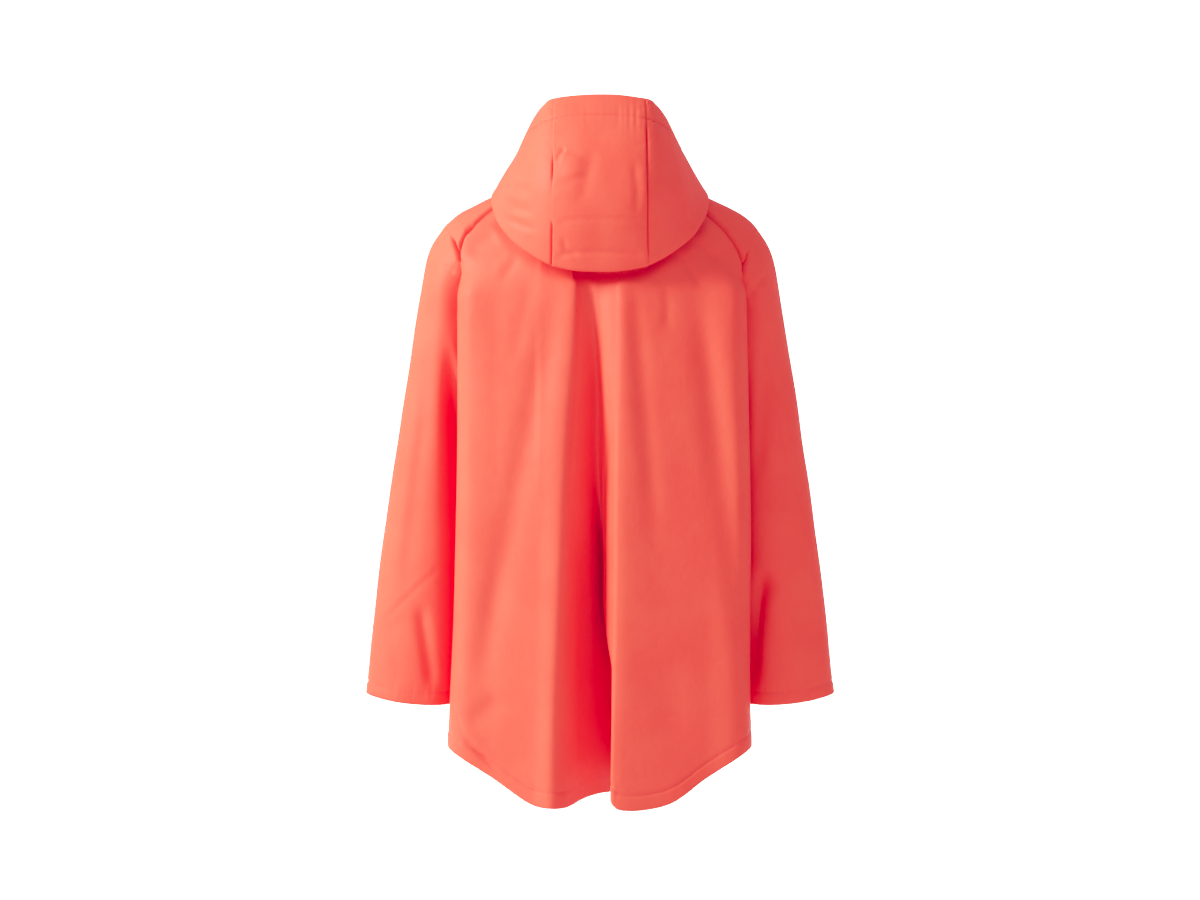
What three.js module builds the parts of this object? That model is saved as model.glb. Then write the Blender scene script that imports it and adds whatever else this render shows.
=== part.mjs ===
// A child's hooded rain jacket, hanging hollow as if it were worn, in millimetres.
// +Z is up, the front faces -Y and the wearer's left is +X. The origin is the middle of the
// neck opening, level with the points where the shoulders meet the neck.
import * as THREE from "three";

// Driving sizes
const CLOTH = 1.0; // thickness of the coated cloth
const SEAM_GAP = 0.5; // between two pieces at a seam, which leaves 0.3 mm free where they meet at an angle
const ARMHOLE_GAP = 1.2; // the same for the sleeve, which leaves the body at a sharper angle
const UNDERARM_EASE = 1.4; // how far the sleeve is let out under the arm, where it folds back on the body
const NECK = { halfWidth: 60, back: 50, front: 56, backDrop: 12, frontDrop: 50 };
const HEM_Z = -566; // lowest line of the back hem
const UNDERARM_Z = -170;
const YOKE_Z = -75; // where the raglan seam runs into the armhole
const FOLD_TOP_Z = -110; // where the folds of the back over its sides start to run out into the yoke
const RAGLAN_ANGLE = { back: 62, front: 122 }; // where the raglan seams start, round the neck from the back
const LAP = { halfWidth: 15, lift: 0.75 }; // how the fronts lap over each other at the middle
const STUD = { count: 6, radius: 6.5, height: 2.2, topZ: -78, lowestZ: -440, sides: 14 };
const CORAL = 0xf4644c;
const STUD_CORAL = 0xe65a46;

// Half widths and depths of the body at each height. left and right are the folds of the back
// over each side, seam is the side seam, pinched in by the arm.
const BODY = [
  { z: -570, left: 139.0, right: 138.0, foldY: 44, backY: 101, seam: 128, front: 126, frontY: -93 },
  { z: -510, left: 137.0, right: 136.5, foldY: 45, backY: 100, seam: 122, front: 125, frontY: -93 },
  { z: -468, left: 134.7, right: 135.0, foldY: 47, backY: 99, seam: 115, front: 123, frontY: -92 },
  { z: -400, left: 131.5, right: 134.7, foldY: 50, backY: 98, seam: 108, front: 121, frontY: -91 },
  { z: -320, left: 129.5, right: 135.4, foldY: 52, backY: 96, seam: 103, front: 119, frontY: -90 },
  { z: -247, left: 128.2, right: 134.3, foldY: 52, backY: 93, seam: 102, front: 118, frontY: -88 },
  { z: -165, left: 128.2, right: 132.7, foldY: 51, backY: 88, seam: 108, front: 118, frontY: -83 },
  { z: -85, left: 128.2, right: 131.0, foldY: 47, backY: 79, seam: 110, front: 116, frontY: -72 },
  { z: -50, left: 128.0, right: 130.0, foldY: 44, backY: 67, seam: 110, front: 114, frontY: -56 },
  { z: -12, left: 128.0, right: 130.0, foldY: 40, backY: 50, seam: 110, front: 112, frontY: -50 },
];

// The pleat down the back at each height: x of its soft left lip, of its wall, bottom and hidden
// turn, and of the crisp right crease that overlaps it, with its depth.
const PLEAT = [
  { z: -570, lip: 42, wall: 23, bottom: -2, turn: -14, inner: -22, crease: -9.3, depth: 80 },
  { z: -488, lip: 41, wall: 23, bottom: 2, turn: -11, inner: -17.5, crease: -10.8, depth: 77 },
  { z: -417, lip: 38, wall: 23, bottom: 4, turn: -4, inner: -11, crease: -12.2, depth: 72 },
  { z: -340, lip: 35, wall: 22, bottom: 5, turn: -3, inner: -9.5, crease: -13.3, depth: 64 },
  { z: -257, lip: 31.5, wall: 20.5, bottom: 6, turn: -2, inner: -8, crease: -13.8, depth: 53 },
  { z: -199, lip: 28, wall: 18.5, bottom: 6, turn: -1, inner: -6.5, crease: -14.2, depth: 40 },
  { z: -153, lip: 24.5, wall: 18.5, bottom: 7, turn: 0, inner: -6, crease: -14.2, depth: 26 },
  { z: -115, lip: 23, wall: 19, bottom: 9, turn: 2, inner: -6, crease: -14, depth: 15 },
  { z: -60, lip: 23, wall: 18.5, bottom: 10, turn: 2, inner: -7, crease: -13.5, depth: 7 },
  { z: -12, lip: 22, wall: 15, bottom: 7, turn: 0, inner: -8, crease: -13, depth: 2.5 },
];
// How much of the pleat's depth the cloth has gone in at points across it, low and high on the back.
const PLEAT_WALL = 0.28;
const PLEAT_TURN = { low: 0.95, high: 0.6 };
const PLEAT_LEDGE = { low: 0.42, high: 0.16 };

// How the back bulges: how far out towards the fold each point is, and how far up to the full back.
const BULGE = {
  near: { out: 0.93, up: 0.54 },
  flank: { out: 0.7, up: 0.7 },
  ridge: { out: 0.43, up: 0.88 },
};

// Soft hanging folds in the back: a trough runs from its top to its low point.
const BACK_FOLDS = [
  { topX: 38, topZ: -105, lowX: 108, lowZ: -460, width: 12, depth: 3.5 },
  { topX: -30, topZ: -100, lowX: -48, lowZ: -320, width: 8, depth: 2.5 },
  { topX: -86, topZ: -100, lowX: -130, lowZ: -430, width: 12, depth: 4 },
];
const FRONT_FOLDS = [
  { topX: 48, topZ: -110, lowX: 66, lowZ: -470, width: 11, depth: 4 },
  { topX: 84, topZ: -180, lowX: 96, lowZ: -500, width: 9, depth: 3 },
  { topX: -52, topZ: -130, lowX: -74, lowZ: -490, width: 12, depth: 4.5 },
];

// Points across the back from the wearer's left side seam to the right one. share is how much of
// the way from the armhole to the middle each has gone at the yoke, and rise how much higher the
// hem is there.
const BACK_POINTS = [
  { name: "seam", side: 1, share: 0.0, rise: 58 },
  { name: "side", side: 1, share: 0.015, rise: 55 },
  { name: "fold", side: 1, share: 0.04, rise: 52 },
  { name: "near", side: 1, share: 0.2, rise: 45 },
  { name: "flank", side: 1, share: 0.45, rise: 26 },
  { name: "ridge", side: 1, share: 0.62, rise: 2.5 },
  { name: "lip", rise: 0 },
  { name: "wall", rise: 0 },
  { name: "bottom", rise: 0 },
  { name: "turn", rise: 17 },
  { name: "inner", rise: 14 },
  { name: "crease", rise: 7 },
  { name: "outer", rise: 0 },
  { name: "ridge", side: -1, share: 0.62, rise: 2.5 },
  { name: "flank", side: -1, share: 0.45, rise: 26 },
  { name: "near", side: -1, share: 0.2, rise: 45 },
  { name: "fold", side: -1, share: 0.04, rise: 52 },
  { name: "side", side: -1, share: 0.015, rise: 55 },
  { name: "seam", side: -1, share: 0.0, rise: 58 },
];
const FRONT_POINTS = [
  { name: "seam", share: 0.0, rise: 58 },
  { name: "side", share: 0.06, rise: 61 },
  { name: "fold", share: 0.14, rise: 63 },
  { name: "near", share: 0.3, rise: 65 },
  { name: "quarter", share: 0.6, rise: 66 },
  { name: "beforeLap", rise: 66 },
  { name: "middle", rise: 66 },
  { name: "edge", rise: 66 },
];

// Seams of the upper body, each from its shoulder end. The right side differs on the back only.
const ARMHOLE_TOP = [142, 0, -42];
const UNDERARM = [108, 0, UNDERARM_Z];
const ARMHOLE_BACK = {
  left: [[129, 41, -70], [122, 37, -108], [116, 28, -149]],
  right: [[131.5, 43, -82], [125.5, 38.5, -116], [119, 29, -152]],
};
const ARMHOLE_FRONT = [[127, -41, -76], [124, -45, -115], [117, -32, -152]];
const RAGLAN_BACK = {
  left: [[129, 41, -70], [124.4, 37, -55], [116.2, 33, -45], [102.6, 28, -30.5], [78, 25.5, -16]],
  right: [[131.5, 43, -82], [127.5, 40, -69], [120.5, 36.5, -57], [110.5, 31, -44.5], [97.5, 27, -31.5], [76, 25, -16]],
};
const RAGLAN_FRONT = [[127, -41, -76], [114, -39, -56], [94, -36, -40], [70, -33, -24]];
const SHOULDER_RIDGE = [[60, 0, 0], [80, 0, -8.5], [101, 0, -17.5], [117, 0, -25], [130, 0, -32.5], [142, 0, -42]];

// Rings of the sleeve from armhole to cuff, wearer's left: each goes through an outer and an
// inner point, and reaches half its depth to the front and to the back.
const SLEEVE = [
  { along: 0.0, outerX: 142.0, outerZ: -42, innerX: 108.0, innerZ: -170, depth: 45.0, y: 0 },
  { along: 0.1, outerX: 156.5, outerZ: -66, innerX: 112.0, innerZ: -183, depth: 43.0, y: 0 },
  { along: 0.2, outerX: 165.0, outerZ: -106, innerX: 113.0, innerZ: -208, depth: 41.0, y: -1 },
  { along: 0.35, outerX: 174.0, outerZ: -162, innerX: 113.0, innerZ: -248, depth: 39.0, y: -2 },
  { along: 0.5, outerX: 184.0, outerZ: -226, innerX: 114.0, innerZ: -289, depth: 38.0, y: -3 },
  { along: 0.65, outerX: 193.5, outerZ: -292, innerX: 116.0, innerZ: -337, depth: 37.0, y: -3 },
  { along: 0.8, outerX: 203.0, outerZ: -362, innerX: 120.0, innerZ: -392, depth: 36.0, y: -3 },
  { along: 1.0, outerX: 215.5, outerZ: -471, innerX: 128.5, innerZ: -480, depth: 35.0, y: -3 },
];
const CUFF_SAG = 4; // how much lower the cuff hangs at the front and back than its ends
// Long troughs down a sleeve, each from one angle round its head to another round its cuff, as
// angles from the shoulder over the back. Beside the body the left one is deep.
const SLEEVE_FOLDS = {
  left: [
    { angle: 92, cuffAngle: 162, width: 19, depth: 24, from: 0.16, to: 1.3 },
    { angle: 66, cuffAngle: 66, width: 12, depth: 1.6, from: 0.3, to: 0.9 },
    { angle: 242, cuffAngle: 242, width: 13, depth: 3, from: 0.2, to: 0.9 },
  ],
  right: [
    { angle: 104, cuffAngle: 156, width: 16, depth: 9, from: 0.16, to: 1.3 },
    { angle: 70, cuffAngle: 62, width: 12, depth: 1.6, from: 0.3, to: 0.9 },
    { angle: 238, cuffAngle: 246, width: 13, depth: 3, from: 0.2, to: 0.9 },
  ],
};

// The hood, thrown back and standing, at angles round the neck from the middle of the back: its
// low line, where the cloth turns up, its brim, and how far the cloth between them swells.
const HOOD = [
  { angle: 0, lowX: 0, lowY: 91, lowZ: -90, brimX: 0, brimY: 62, brimZ: 71, swell: 28 },
  { angle: 30, lowX: 43, lowY: 87, lowZ: -84, brimX: 41, brimY: 57, brimZ: 68, swell: 26 },
  { angle: 50, lowX: 76, lowY: 71, lowZ: -63, brimX: 51, brimY: 46, brimZ: 63, swell: 14 },
  { angle: 65, lowX: 92, lowY: 52, lowZ: -43, brimX: 58, brimY: 35, brimZ: 56, swell: 5 },
  { angle: 80, lowX: 99, lowY: 28, lowZ: -23, brimX: 63, brimY: 20, brimZ: 48, swell: 0 },
  { angle: 95, lowX: 97, lowY: 4, lowZ: -12, brimX: 65, brimY: 3, brimZ: 40, swell: 0 },
  { angle: 110, lowX: 88, lowY: -18, lowZ: -10, brimX: 65, brimY: -15, brimZ: 30, swell: 2 },
  { angle: 130, lowX: 66, lowY: -46, lowZ: -18, brimX: 57, brimY: -38, brimZ: 15, swell: 3 },
  { angle: 150, lowX: 39, lowY: -62, lowZ: -31, brimX: 41, brimY: -57, brimZ: -1, swell: 4 },
  { angle: 178, lowX: 2.5, lowY: -67, lowZ: -41, brimX: 11, brimY: -69, brimZ: -18, swell: 3 },
];
const HOOD_STRIP_ANGLE = 30;
const HOOD_END_ANGLE = 178;

const { lerp, degToRad, clamp } = THREE.MathUtils;
const vector = (point) => new THREE.Vector3(...point);
const mirrored = (point, side) => new THREE.Vector3(point.x * side, point.y, point.z);

// 0 below low, 1 above high, and a smooth step between them.
function smooth(low, high, at) {
  return THREE.MathUtils.smoothstep(at, low, high);
}

// One column of a table at a place along its key, on a smooth curve through the rows.
function sample(table, key, column, place) {
  const last = table.length - 1;
  const at = clamp(place, table[0][key], table[last][key]);
  const next = table.findIndex((row) => row[key] >= at);
  const i = Math.max(0, next - 1);
  const slope = (k) => {
    const before = table[Math.max(0, k - 1)];
    const after = table[Math.min(last, k + 1)];
    return (after[column] - before[column]) / (after[key] - before[key]);
  };
  const span = table[i + 1][key] - table[i][key];
  const t = (at - table[i][key]) / span;
  const start = table[i][column];
  const end = table[i + 1][column];
  const rise = t * t * (3 - 2 * t);
  const startTangent = t * (1 - t) * (1 - t) * span * slope(i);
  const endTangent = t * t * (t - 1) * span * slope(i + 1);
  return start + (end - start) * rise + startTangent + endTangent;
}

const smoothCurve = (points, closed = false) => new THREE.CatmullRomCurve3(points, closed, "centripetal");

// A point of the neck seam, at an angle round it from the middle of the back.
function neckPoint(angle) {
  const turn = degToRad(angle);
  const behind = Math.cos(turn) > 0;
  return new THREE.Vector3(
    NECK.halfWidth * Math.sin(turn),
    (behind ? NECK.back : NECK.front) * Math.cos(turn),
    -(behind ? NECK.backDrop : NECK.frontDrop) * Math.cos(turn) ** 2,
  );
}

// The angle behind the neck where its seam is this far to the side.
function angleOnNeck(x) {
  return THREE.MathUtils.radToDeg(Math.asin(clamp(x / NECK.halfWidth, -1, 1)));
}

// The armhole seam, closed: 0 at the shoulder, 1/8 at the back raglan seam, 1/2 at the underarm.
function armholeCurve(side) {
  const behind = ARMHOLE_BACK[side > 0 ? "left" : "right"];
  const points = [ARMHOLE_TOP, ...behind, UNDERARM, ...ARMHOLE_FRONT.toReversed()];
  return smoothCurve(points.map((point) => mirrored(vector(point), side)), true);
}

// The back and front raglan seams, from the armhole to the neck.
function raglanCurve(side, back) {
  const listed = back ? RAGLAN_BACK[side > 0 ? "left" : "right"] : RAGLAN_FRONT;
  const neckEnd = neckPoint(back ? RAGLAN_ANGLE.back : RAGLAN_ANGLE.front);
  return smoothCurve([...listed.map(vector), neckEnd].map((point) => mirrored(point, side)));
}

const SEAMS = {};
for (const side of [1, -1]) {
  SEAMS[side] = {
    armhole: armholeCurve(side),
    raglanBack: raglanCurve(side, true),
    raglanFront: raglanCurve(side, false),
  };
}

// The edge of a body panel at a height: side seam, then armhole, then raglan seam.
function panelEdge(side, z, back) {
  if (z <= UNDERARM_Z) return new THREE.Vector3(side * sample(BODY, "z", "seam", z), 0, z);
  const seams = SEAMS[side];
  if (z <= YOKE_Z) {
    const up = (z - UNDERARM_Z) / (YOKE_Z - UNDERARM_Z);
    return seams.armhole.getPoint(back ? lerp(0.5, 0.125, up) : lerp(0.5, 0.875, up));
  }
  const along = (z - YOKE_Z) / (-NECK.backDrop - YOKE_Z);
  return (back ? seams.raglanBack : seams.raglanFront).getPoint(along);
}

// How far the folds of a table push a point of the back or front in, away from the sides.
function foldDepth(folds, { x, y, z }) {
  let depth = 0;
  for (const fold of folds) {
    const length = fold.topZ - fold.lowZ;
    const down = (fold.topZ - z) / length;
    if (down < -0.15 || down > 1.15) continue;
    const fade = smooth(-0.15, 0.25, down) * (1 - smooth(0.75, 1.15, down));
    const across = (x - lerp(fold.topX, fold.lowX, down)) / fold.width;
    depth += fold.depth * fade * Math.exp(-across * across);
  }
  return depth * smooth(48, 76, Math.abs(y));
}

// Moves a hanging point to its place in the yoke, which runs from the panel's edge to its middle
// and ends as the neck seam. share is how much of the way it has gone.
function intoYoke(hanging, edge, share, middle, height, behind) {
  const onNeck = smooth(-50, -NECK.backDrop, height);
  const neckEdge = neckPoint(behind ? RAGLAN_ANGLE.back : RAGLAN_ANGLE.front);
  const neckMiddle = neckPoint(behind ? 0 : 180);
  const turn = angleOnNeck(neckEdge.x * (1 - share));
  const neck = neckPoint(behind ? turn : 180 - turn);
  const round = Math.sin((share * Math.PI) / 2);
  const across = (axis) => {
    const onNeckLine = (neck[axis] - neckEdge[axis]) / (neckMiddle[axis] - neckEdge[axis]);
    return lerp(edge[axis], middle[axis], lerp(round, onNeckLine, onNeck));
  };
  const yoke = new THREE.Vector3(edge.x * (1 - share), across("y"), across("z"));
  return hanging.lerp(yoke, smooth(behind ? FOLD_TOP_Z : -160, YOKE_Z + 8, height));
}

// A height's control points across the back, each between where the cloth would hang and its
// place in the yoke.
function backRow(height) {
  const hemShare = 1 - smooth(HEM_Z, -340, height);
  return BACK_POINTS.map(({ name, side, share, rise }) => {
    const z = height + rise * hemShare;
    const body = (column) => sample(BODY, "z", column, z);
    const pleat = (column) => sample(PLEAT, "z", column, z);
    const [foldY, backY, depth] = [body("foldY"), body("backY"), pleat("depth")];
    const sunk = (share) => backY - depth * share;
    const turnShare = lerp(PLEAT_TURN.low, PLEAT_TURN.high, smooth(-500, -380, z));
    const ledgeShare = lerp(PLEAT_LEDGE.low, PLEAT_LEDGE.high, smooth(-280, -180, z));
    const foldX = side * body(side > 0 ? "left" : "right");
    const edge = panelEdge(side ?? 1, z, true);
    const pinched = lerp(7, 2, smooth(30, 44, edge.y));
    const places = {
      seam: () => [edge.x, edge.y],
      side: () => [lerp(edge.x, foldX, 0.5) - side * pinched, lerp(edge.y, foldY, 0.45)],
      fold: () => [foldX, foldY],
      near: () => [foldX * BULGE.near.out, lerp(foldY, backY, BULGE.near.up)],
      flank: () => [foldX * BULGE.flank.out, lerp(foldY, backY, BULGE.flank.up)],
      ridge: () => [foldX * BULGE.ridge.out, lerp(foldY, backY, BULGE.ridge.up)],
      lip: () => [pleat("lip"), backY],
      wall: () => [pleat("wall"), sunk(PLEAT_WALL)],
      bottom: () => [pleat("bottom"), sunk(1)],
      turn: () => [pleat("turn"), sunk(turnShare)],
      inner: () => [pleat("inner"), sunk(ledgeShare)],
      crease: () => [pleat("crease"), backY + 1],
      outer: () => [pleat("crease") - 6, backY + 3],
    };
    if (name === "seam") return edge;
    const [x, y] = places[name]();
    const hanging = new THREE.Vector3(x, y, z);
    if (z <= UNDERARM_Z) return hanging;
    const nearEdge = panelEdge(Math.sign(x) || 1, z, true);
    const middle = new THREE.Vector3(0, side ? backY : y, z);
    return intoYoke(hanging, nearEdge, side ? share : 1 - x / nearEdge.x, middle, z, true);
  });
}

// A height's control points across one front, from the side seam to past the middle. Its neck is
// lower than the back's, so its upper rows are nearer each other at the middle.
function frontRow(side, height) {
  const hemShare = 1 - smooth(HEM_Z, -340, height);
  const spread = (NECK.frontDrop + UNDERARM_Z) / (NECK.backDrop + UNDERARM_Z);
  const middleZ = height > UNDERARM_Z ? UNDERARM_Z + (height - UNDERARM_Z) * spread : height;
  return FRONT_POINTS.map(({ name, share, rise }) => {
    const z = height + rise * hemShare;
    const body = (column) => sample(BODY, "z", column, Math.min(z, middleZ + rise * hemShare));
    const [foldX, frontY] = [body("front"), body("frontY")];
    const edge = panelEdge(1, z, false);
    const pinched = lerp(6, 2, smooth(30, 44, -edge.y));
    const places = {
      seam: [edge.x, edge.y],
      side: [lerp(edge.x, foldX, 0.5) - pinched, lerp(edge.y, -47, 0.47)],
      fold: [foldX, -47],
      near: [foldX * 0.87, lerp(-47, frontY, 0.66)],
      quarter: [foldX * 0.5, frontY + 2],
      beforeLap: [LAP.halfWidth, frontY],
      middle: [0, frontY],
      edge: [-LAP.halfWidth, frontY],
    };
    if (name === "seam") return mirrored(edge, side);
    const [x, y] = places[name];
    let point = new THREE.Vector3(x, y, z);
    if (z > UNDERARM_Z) {
      const middle = new THREE.Vector3(0, frontY, middleZ);
      point = intoYoke(point, edge, share ?? 1 - Math.abs(x) / edge.x, middle, z, false);
    }
    if (name === "edge") point.x = x;
    point.x *= side;
    return point;
  });
}

// One point of the sleeve: round is 0 to 1 from the shoulder over the back, along 0 to 1.
function sleevePoint(side, round, along) {
  const ring = (place) => {
    const at = (column) => sample(SLEEVE, "along", column, place);
    const turn = round * 2 * Math.PI;
    const share = (1 + Math.cos(turn)) / 2;
    const flattened = Math.sign(Math.sin(turn)) * Math.abs(Math.sin(turn)) ** 0.8;
    const depth = at("depth") - sleeveFold(side, round * 360, place);
    const cuffSag = CUFF_SAG * smooth(0.55, 1, place) * Math.sin(turn) ** 2;
    return new THREE.Vector3(
      lerp(at("innerX"), at("outerX"), share),
      at("y") + depth * flattened,
      lerp(at("innerZ"), at("outerZ"), share) - cuffSag,
    );
  };
  const seamShare = 1 - smooth(0, 0.3, along);
  const point = mirrored(ring(along), side);
  const shift = SEAMS[side].armhole.getPoint(round).sub(mirrored(ring(0), side));
  shift.x += side * UNDERARM_EASE * Math.max(0, -Math.cos(round * 2 * Math.PI)) ** 3;
  return point.addScaledVector(shift, seamShare);
}

function sleeveFold(side, angle, along) {
  let depth = 0;
  for (const fold of SLEEVE_FOLDS[side > 0 ? "left" : "right"]) {
    const across = (angle - lerp(fold.angle, fold.cuffAngle, along)) / fold.width;
    const fade = smooth(fold.from, fold.from + 0.2, along) * (1 - smooth(fold.to - 0.2, fold.to, along));
    depth += fold.depth * fade * Math.exp(-across * across);
  }
  return depth;
}

// One point of a shoulder piece: across is 0 to 1 from the back raglan seam to the front one,
// and out 0 to 1 from the neck to the armhole. Its four edges are blended, and the ridge set in.
function shoulderPoint(side, across, out) {
  const seams = SEAMS[side];
  const ridge = smoothCurve(SHOULDER_RIDGE.map((point) => mirrored(vector(point), side)));
  const neckEdge = (share) => mirrored(neckPoint(lerp(RAGLAN_ANGLE.back, RAGLAN_ANGLE.front, share)), side);
  const armEdge = (share) => seams.armhole.getPoint((lerp(0.125, -0.125, share) + 1) % 1);
  const blend = (share) => {
    const along = neckEdge(share).lerp(armEdge(share), out);
    const over = seams.raglanBack.getPoint(1 - out).lerp(seams.raglanFront.getPoint(1 - out), share);
    const start = neckEdge(0).lerp(armEdge(0), out);
    const corners = start.lerp(neckEdge(1).lerp(armEdge(1), out), share);
    return along.add(over).sub(corners);
  };
  const lift = ridge.getPoint(out).sub(blend(0.5));
  const crown = Math.sin(across * Math.PI);
  return blend(across).addScaledVector(lift, crown);
}

// One point of the hood: up is 0 to 1 from the neck seam, down over the back and up to the brim.
function hoodCurve(angle) {
  const turn = Math.abs(angle);
  const side = Math.sign(angle) || 1;
  const at = (column) => sample(HOOD, "angle", column, turn);
  const outward = new THREE.Vector3(Math.sin(degToRad(turn)), Math.cos(degToRad(turn)), 0);
  const swellTurn = degToRad(clamp((turn - HOOD_STRIP_ANGLE) * 1.4, 0, 160));
  const swellWay = new THREE.Vector3(Math.sin(swellTurn), Math.cos(swellTurn), 0);
  const neck = neckPoint(turn).add(new THREE.Vector3(0, 0, 1.9));
  const low = new THREE.Vector3(at("lowX"), at("lowY"), at("lowZ"));
  const brim = new THREE.Vector3(at("brimX"), at("brimY"), at("brimZ"));
  const between = (share, swell) => low.clone().lerp(brim, share).addScaledVector(swellWay, swell * at("swell"));
  const stand = neck.clone().addScaledVector(outward, 3).add(new THREE.Vector3(0, 0, 5));
  const lying = stand.clone().lerp(low, 0.5);
  lying.z += 4;
  const points = [neck, stand, lying, low, between(0.12, 0.36), between(0.45, 1), between(0.75, 0.75), brim];
  return smoothCurve(points.map((point) => mirrored(point, side)));
}

// A wall of cloth of even thickness round a grid of points, with its borders closed. A tube's
// rows close on themselves.
function wall(grid, tube = false) {
  const rows = grid.length;
  const columns = grid[0].length;
  const wrap = (c) => (tube ? (c + columns) % columns : clamp(c, 0, columns - 1));
  const positions = [];
  for (const half of [CLOTH / 2, -CLOTH / 2]) {
    for (let r = 0; r < rows; r++) {
      for (let c = 0; c < columns; c++) {
        const up = grid[Math.min(r + 1, rows - 1)][c].clone().sub(grid[Math.max(r - 1, 0)][c]);
        const over = grid[r][wrap(c + 1)].clone().sub(grid[r][wrap(c - 1)]);
        const out = over.cross(up).normalize();
        positions.push(...grid[r][c].clone().addScaledVector(out, half).toArray());
      }
    }
  }
  const inner = rows * columns;
  const faces = [];
  const quad = (a, b, c, d) => faces.push(a, b, c, a, c, d);
  const lastColumn = tube ? columns : columns - 1;
  for (let r = 0; r < rows - 1; r++) {
    for (let c = 0; c < lastColumn; c++) {
      const [a, b] = [r * columns + c, r * columns + wrap(c + 1)];
      quad(a, b, b + columns, a + columns);
      quad(inner + a, inner + a + columns, inner + b + columns, inner + b);
    }
    if (tube) continue;
    const [first, last] = [r * columns, r * columns + columns - 1];
    quad(first, first + columns, inner + first + columns, inner + first);
    quad(last + columns, last, inner + last, inner + last + columns);
  }
  for (let c = 0; c < lastColumn; c++) {
    const top = (rows - 1) * columns;
    quad(wrap(c + 1), c, inner + c, inner + wrap(c + 1));
    quad(top + c, top + wrap(c + 1), inner + top + wrap(c + 1), inner + top + c);
  }
  return facingOut(positions, faces);
}

// A geometry of these faces, turned round if they face inwards.
function facingOut(positions, faces) {
  const at = (i) => new THREE.Vector3().fromArray(positions, 3 * i);
  let volume = 0;
  for (let i = 0; i < faces.length; i += 3) {
    volume += at(faces[i]).dot(at(faces[i + 1]).cross(at(faces[i + 2])));
  }
  if (volume < 0) faces.reverse();
  const geometry = new THREE.BufferGeometry();
  geometry.setAttribute("position", new THREE.Float32BufferAttribute(positions, 3));
  geometry.setIndex(faces);
  geometry.computeVertexNormals();
  return geometry;
}

// Draws the borders that are seams back from the seam line, so that a gap is left there.
function trimmed(grid, borders) {
  const last = { row: grid.length - 1, column: grid[0].length - 1 };
  const toward = (from, to) => to.clone().sub(from).normalize();
  const moves = [];
  grid.forEach((row, r) =>
    row.forEach((point, c) => {
      const way = new THREE.Vector3();
      const gaps = [];
      const draw = (border, on, next) => {
        if (!on || !borders[border]) return;
        gaps.push(borders[border]);
        way.add(toward(point, next));
      };
      draw("first", c === 0, row[1]);
      draw("last", c === last.column, row[last.column - 1]);
      draw("low", r === 0, grid[1][c]);
      draw("top", r === last.row, grid[last.row - 1][c]);
      // Round an armhole the cloth is below the border as well as beside it.
      if (borders.armhole && gaps.length === 1 && r > 0) way.add(toward(point, grid[r - 1][c]));
      if (gaps.length) moves.push([point, way.multiplyScalar(Math.max(...gaps) / 2)]);
    }),
  );
  for (const [point, move] of moves) point.add(move);
  return grid;
}

// count + 1 even steps from start to end.
function steps(start, end, count) {
  return Array.from({ length: count + 1 }, (_, i) => lerp(start, end, i / count));
}

const ARMHOLE_STEPS = 6;
const RAGLAN_STEPS = 7;
const SHOULDER_STEPS = 8;
const BODY_ROWS = [
  ...[HEM_Z, -545, -515, -480, -440, -400, -360, -320, -280, -240, -204],
  ...steps(UNDERARM_Z, YOKE_Z, ARMHOLE_STEPS),
  ...steps(YOKE_Z, -NECK.backDrop, RAGLAN_STEPS).slice(1),
];

function backGrid() {
  const across = steps(0, 1, 2 * (BACK_POINTS.length - 1));
  return BODY_ROWS.map((height) => {
    const curve = smoothCurve(backRow(height));
    return across.map((share) => {
      const point = curve.getPoint(share);
      point.y -= foldDepth(BACK_FOLDS, point);
      return point;
    });
  });
}

// The wearer's left front lies over the right one.
function frontGrid(side) {
  const across = steps(0, 1, 2 * (FRONT_POINTS.length - 1));
  return BODY_ROWS.map((height) => {
    const curve = smoothCurve(frontRow(side, height));
    return across.map((share) => {
      const point = curve.getPoint(share);
      const lapped = 1 - smooth(LAP.halfWidth + 1, LAP.halfWidth + 25, point.x * side);
      point.y += foldDepth(FRONT_FOLDS, point) - side * LAP.lift * lapped;
      return point;
    });
  });
}

// A sleeve's rings have the same points round the armhole as the pieces that they meet.
function sleeveGrid(side) {
  const back = steps(0.125, 0.5, ARMHOLE_STEPS).slice(1);
  const front = steps(0.5, 0.875, ARMHOLE_STEPS).slice(1);
  const shoulder = steps(-0.125, 0.125, SHOULDER_STEPS).slice(1).map((share) => (share + 1) % 1);
  const along = [0, 0.05, 0.11, 0.18, 0.26, 0.36, 0.47, 0.58, 0.69, 0.8, 0.9, 1];
  return along.map((place) => [...back, ...front, ...shoulder].map((round) => sleevePoint(side, round, place)));
}

function shoulderGrid(side) {
  return steps(0, 1, RAGLAN_STEPS).map((out) =>
    steps(0, 1, SHOULDER_STEPS).map((across) => shoulderPoint(side, across, out)),
  );
}

function hoodGrid(fromAngle, toAngle, count) {
  return steps(0, 1, 18).map((up) =>
    steps(fromAngle, toAngle, count).map((angle) => hoodCurve(angle).getPoint(up)),
  );
}

function clothMesh(name, geometry) {
  const material = new THREE.MeshStandardMaterial({ color: CORAL, roughness: 0.55, metalness: 0 });
  const mesh = new THREE.Mesh(geometry, material);
  mesh.name = name;
  return mesh;
}

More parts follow.
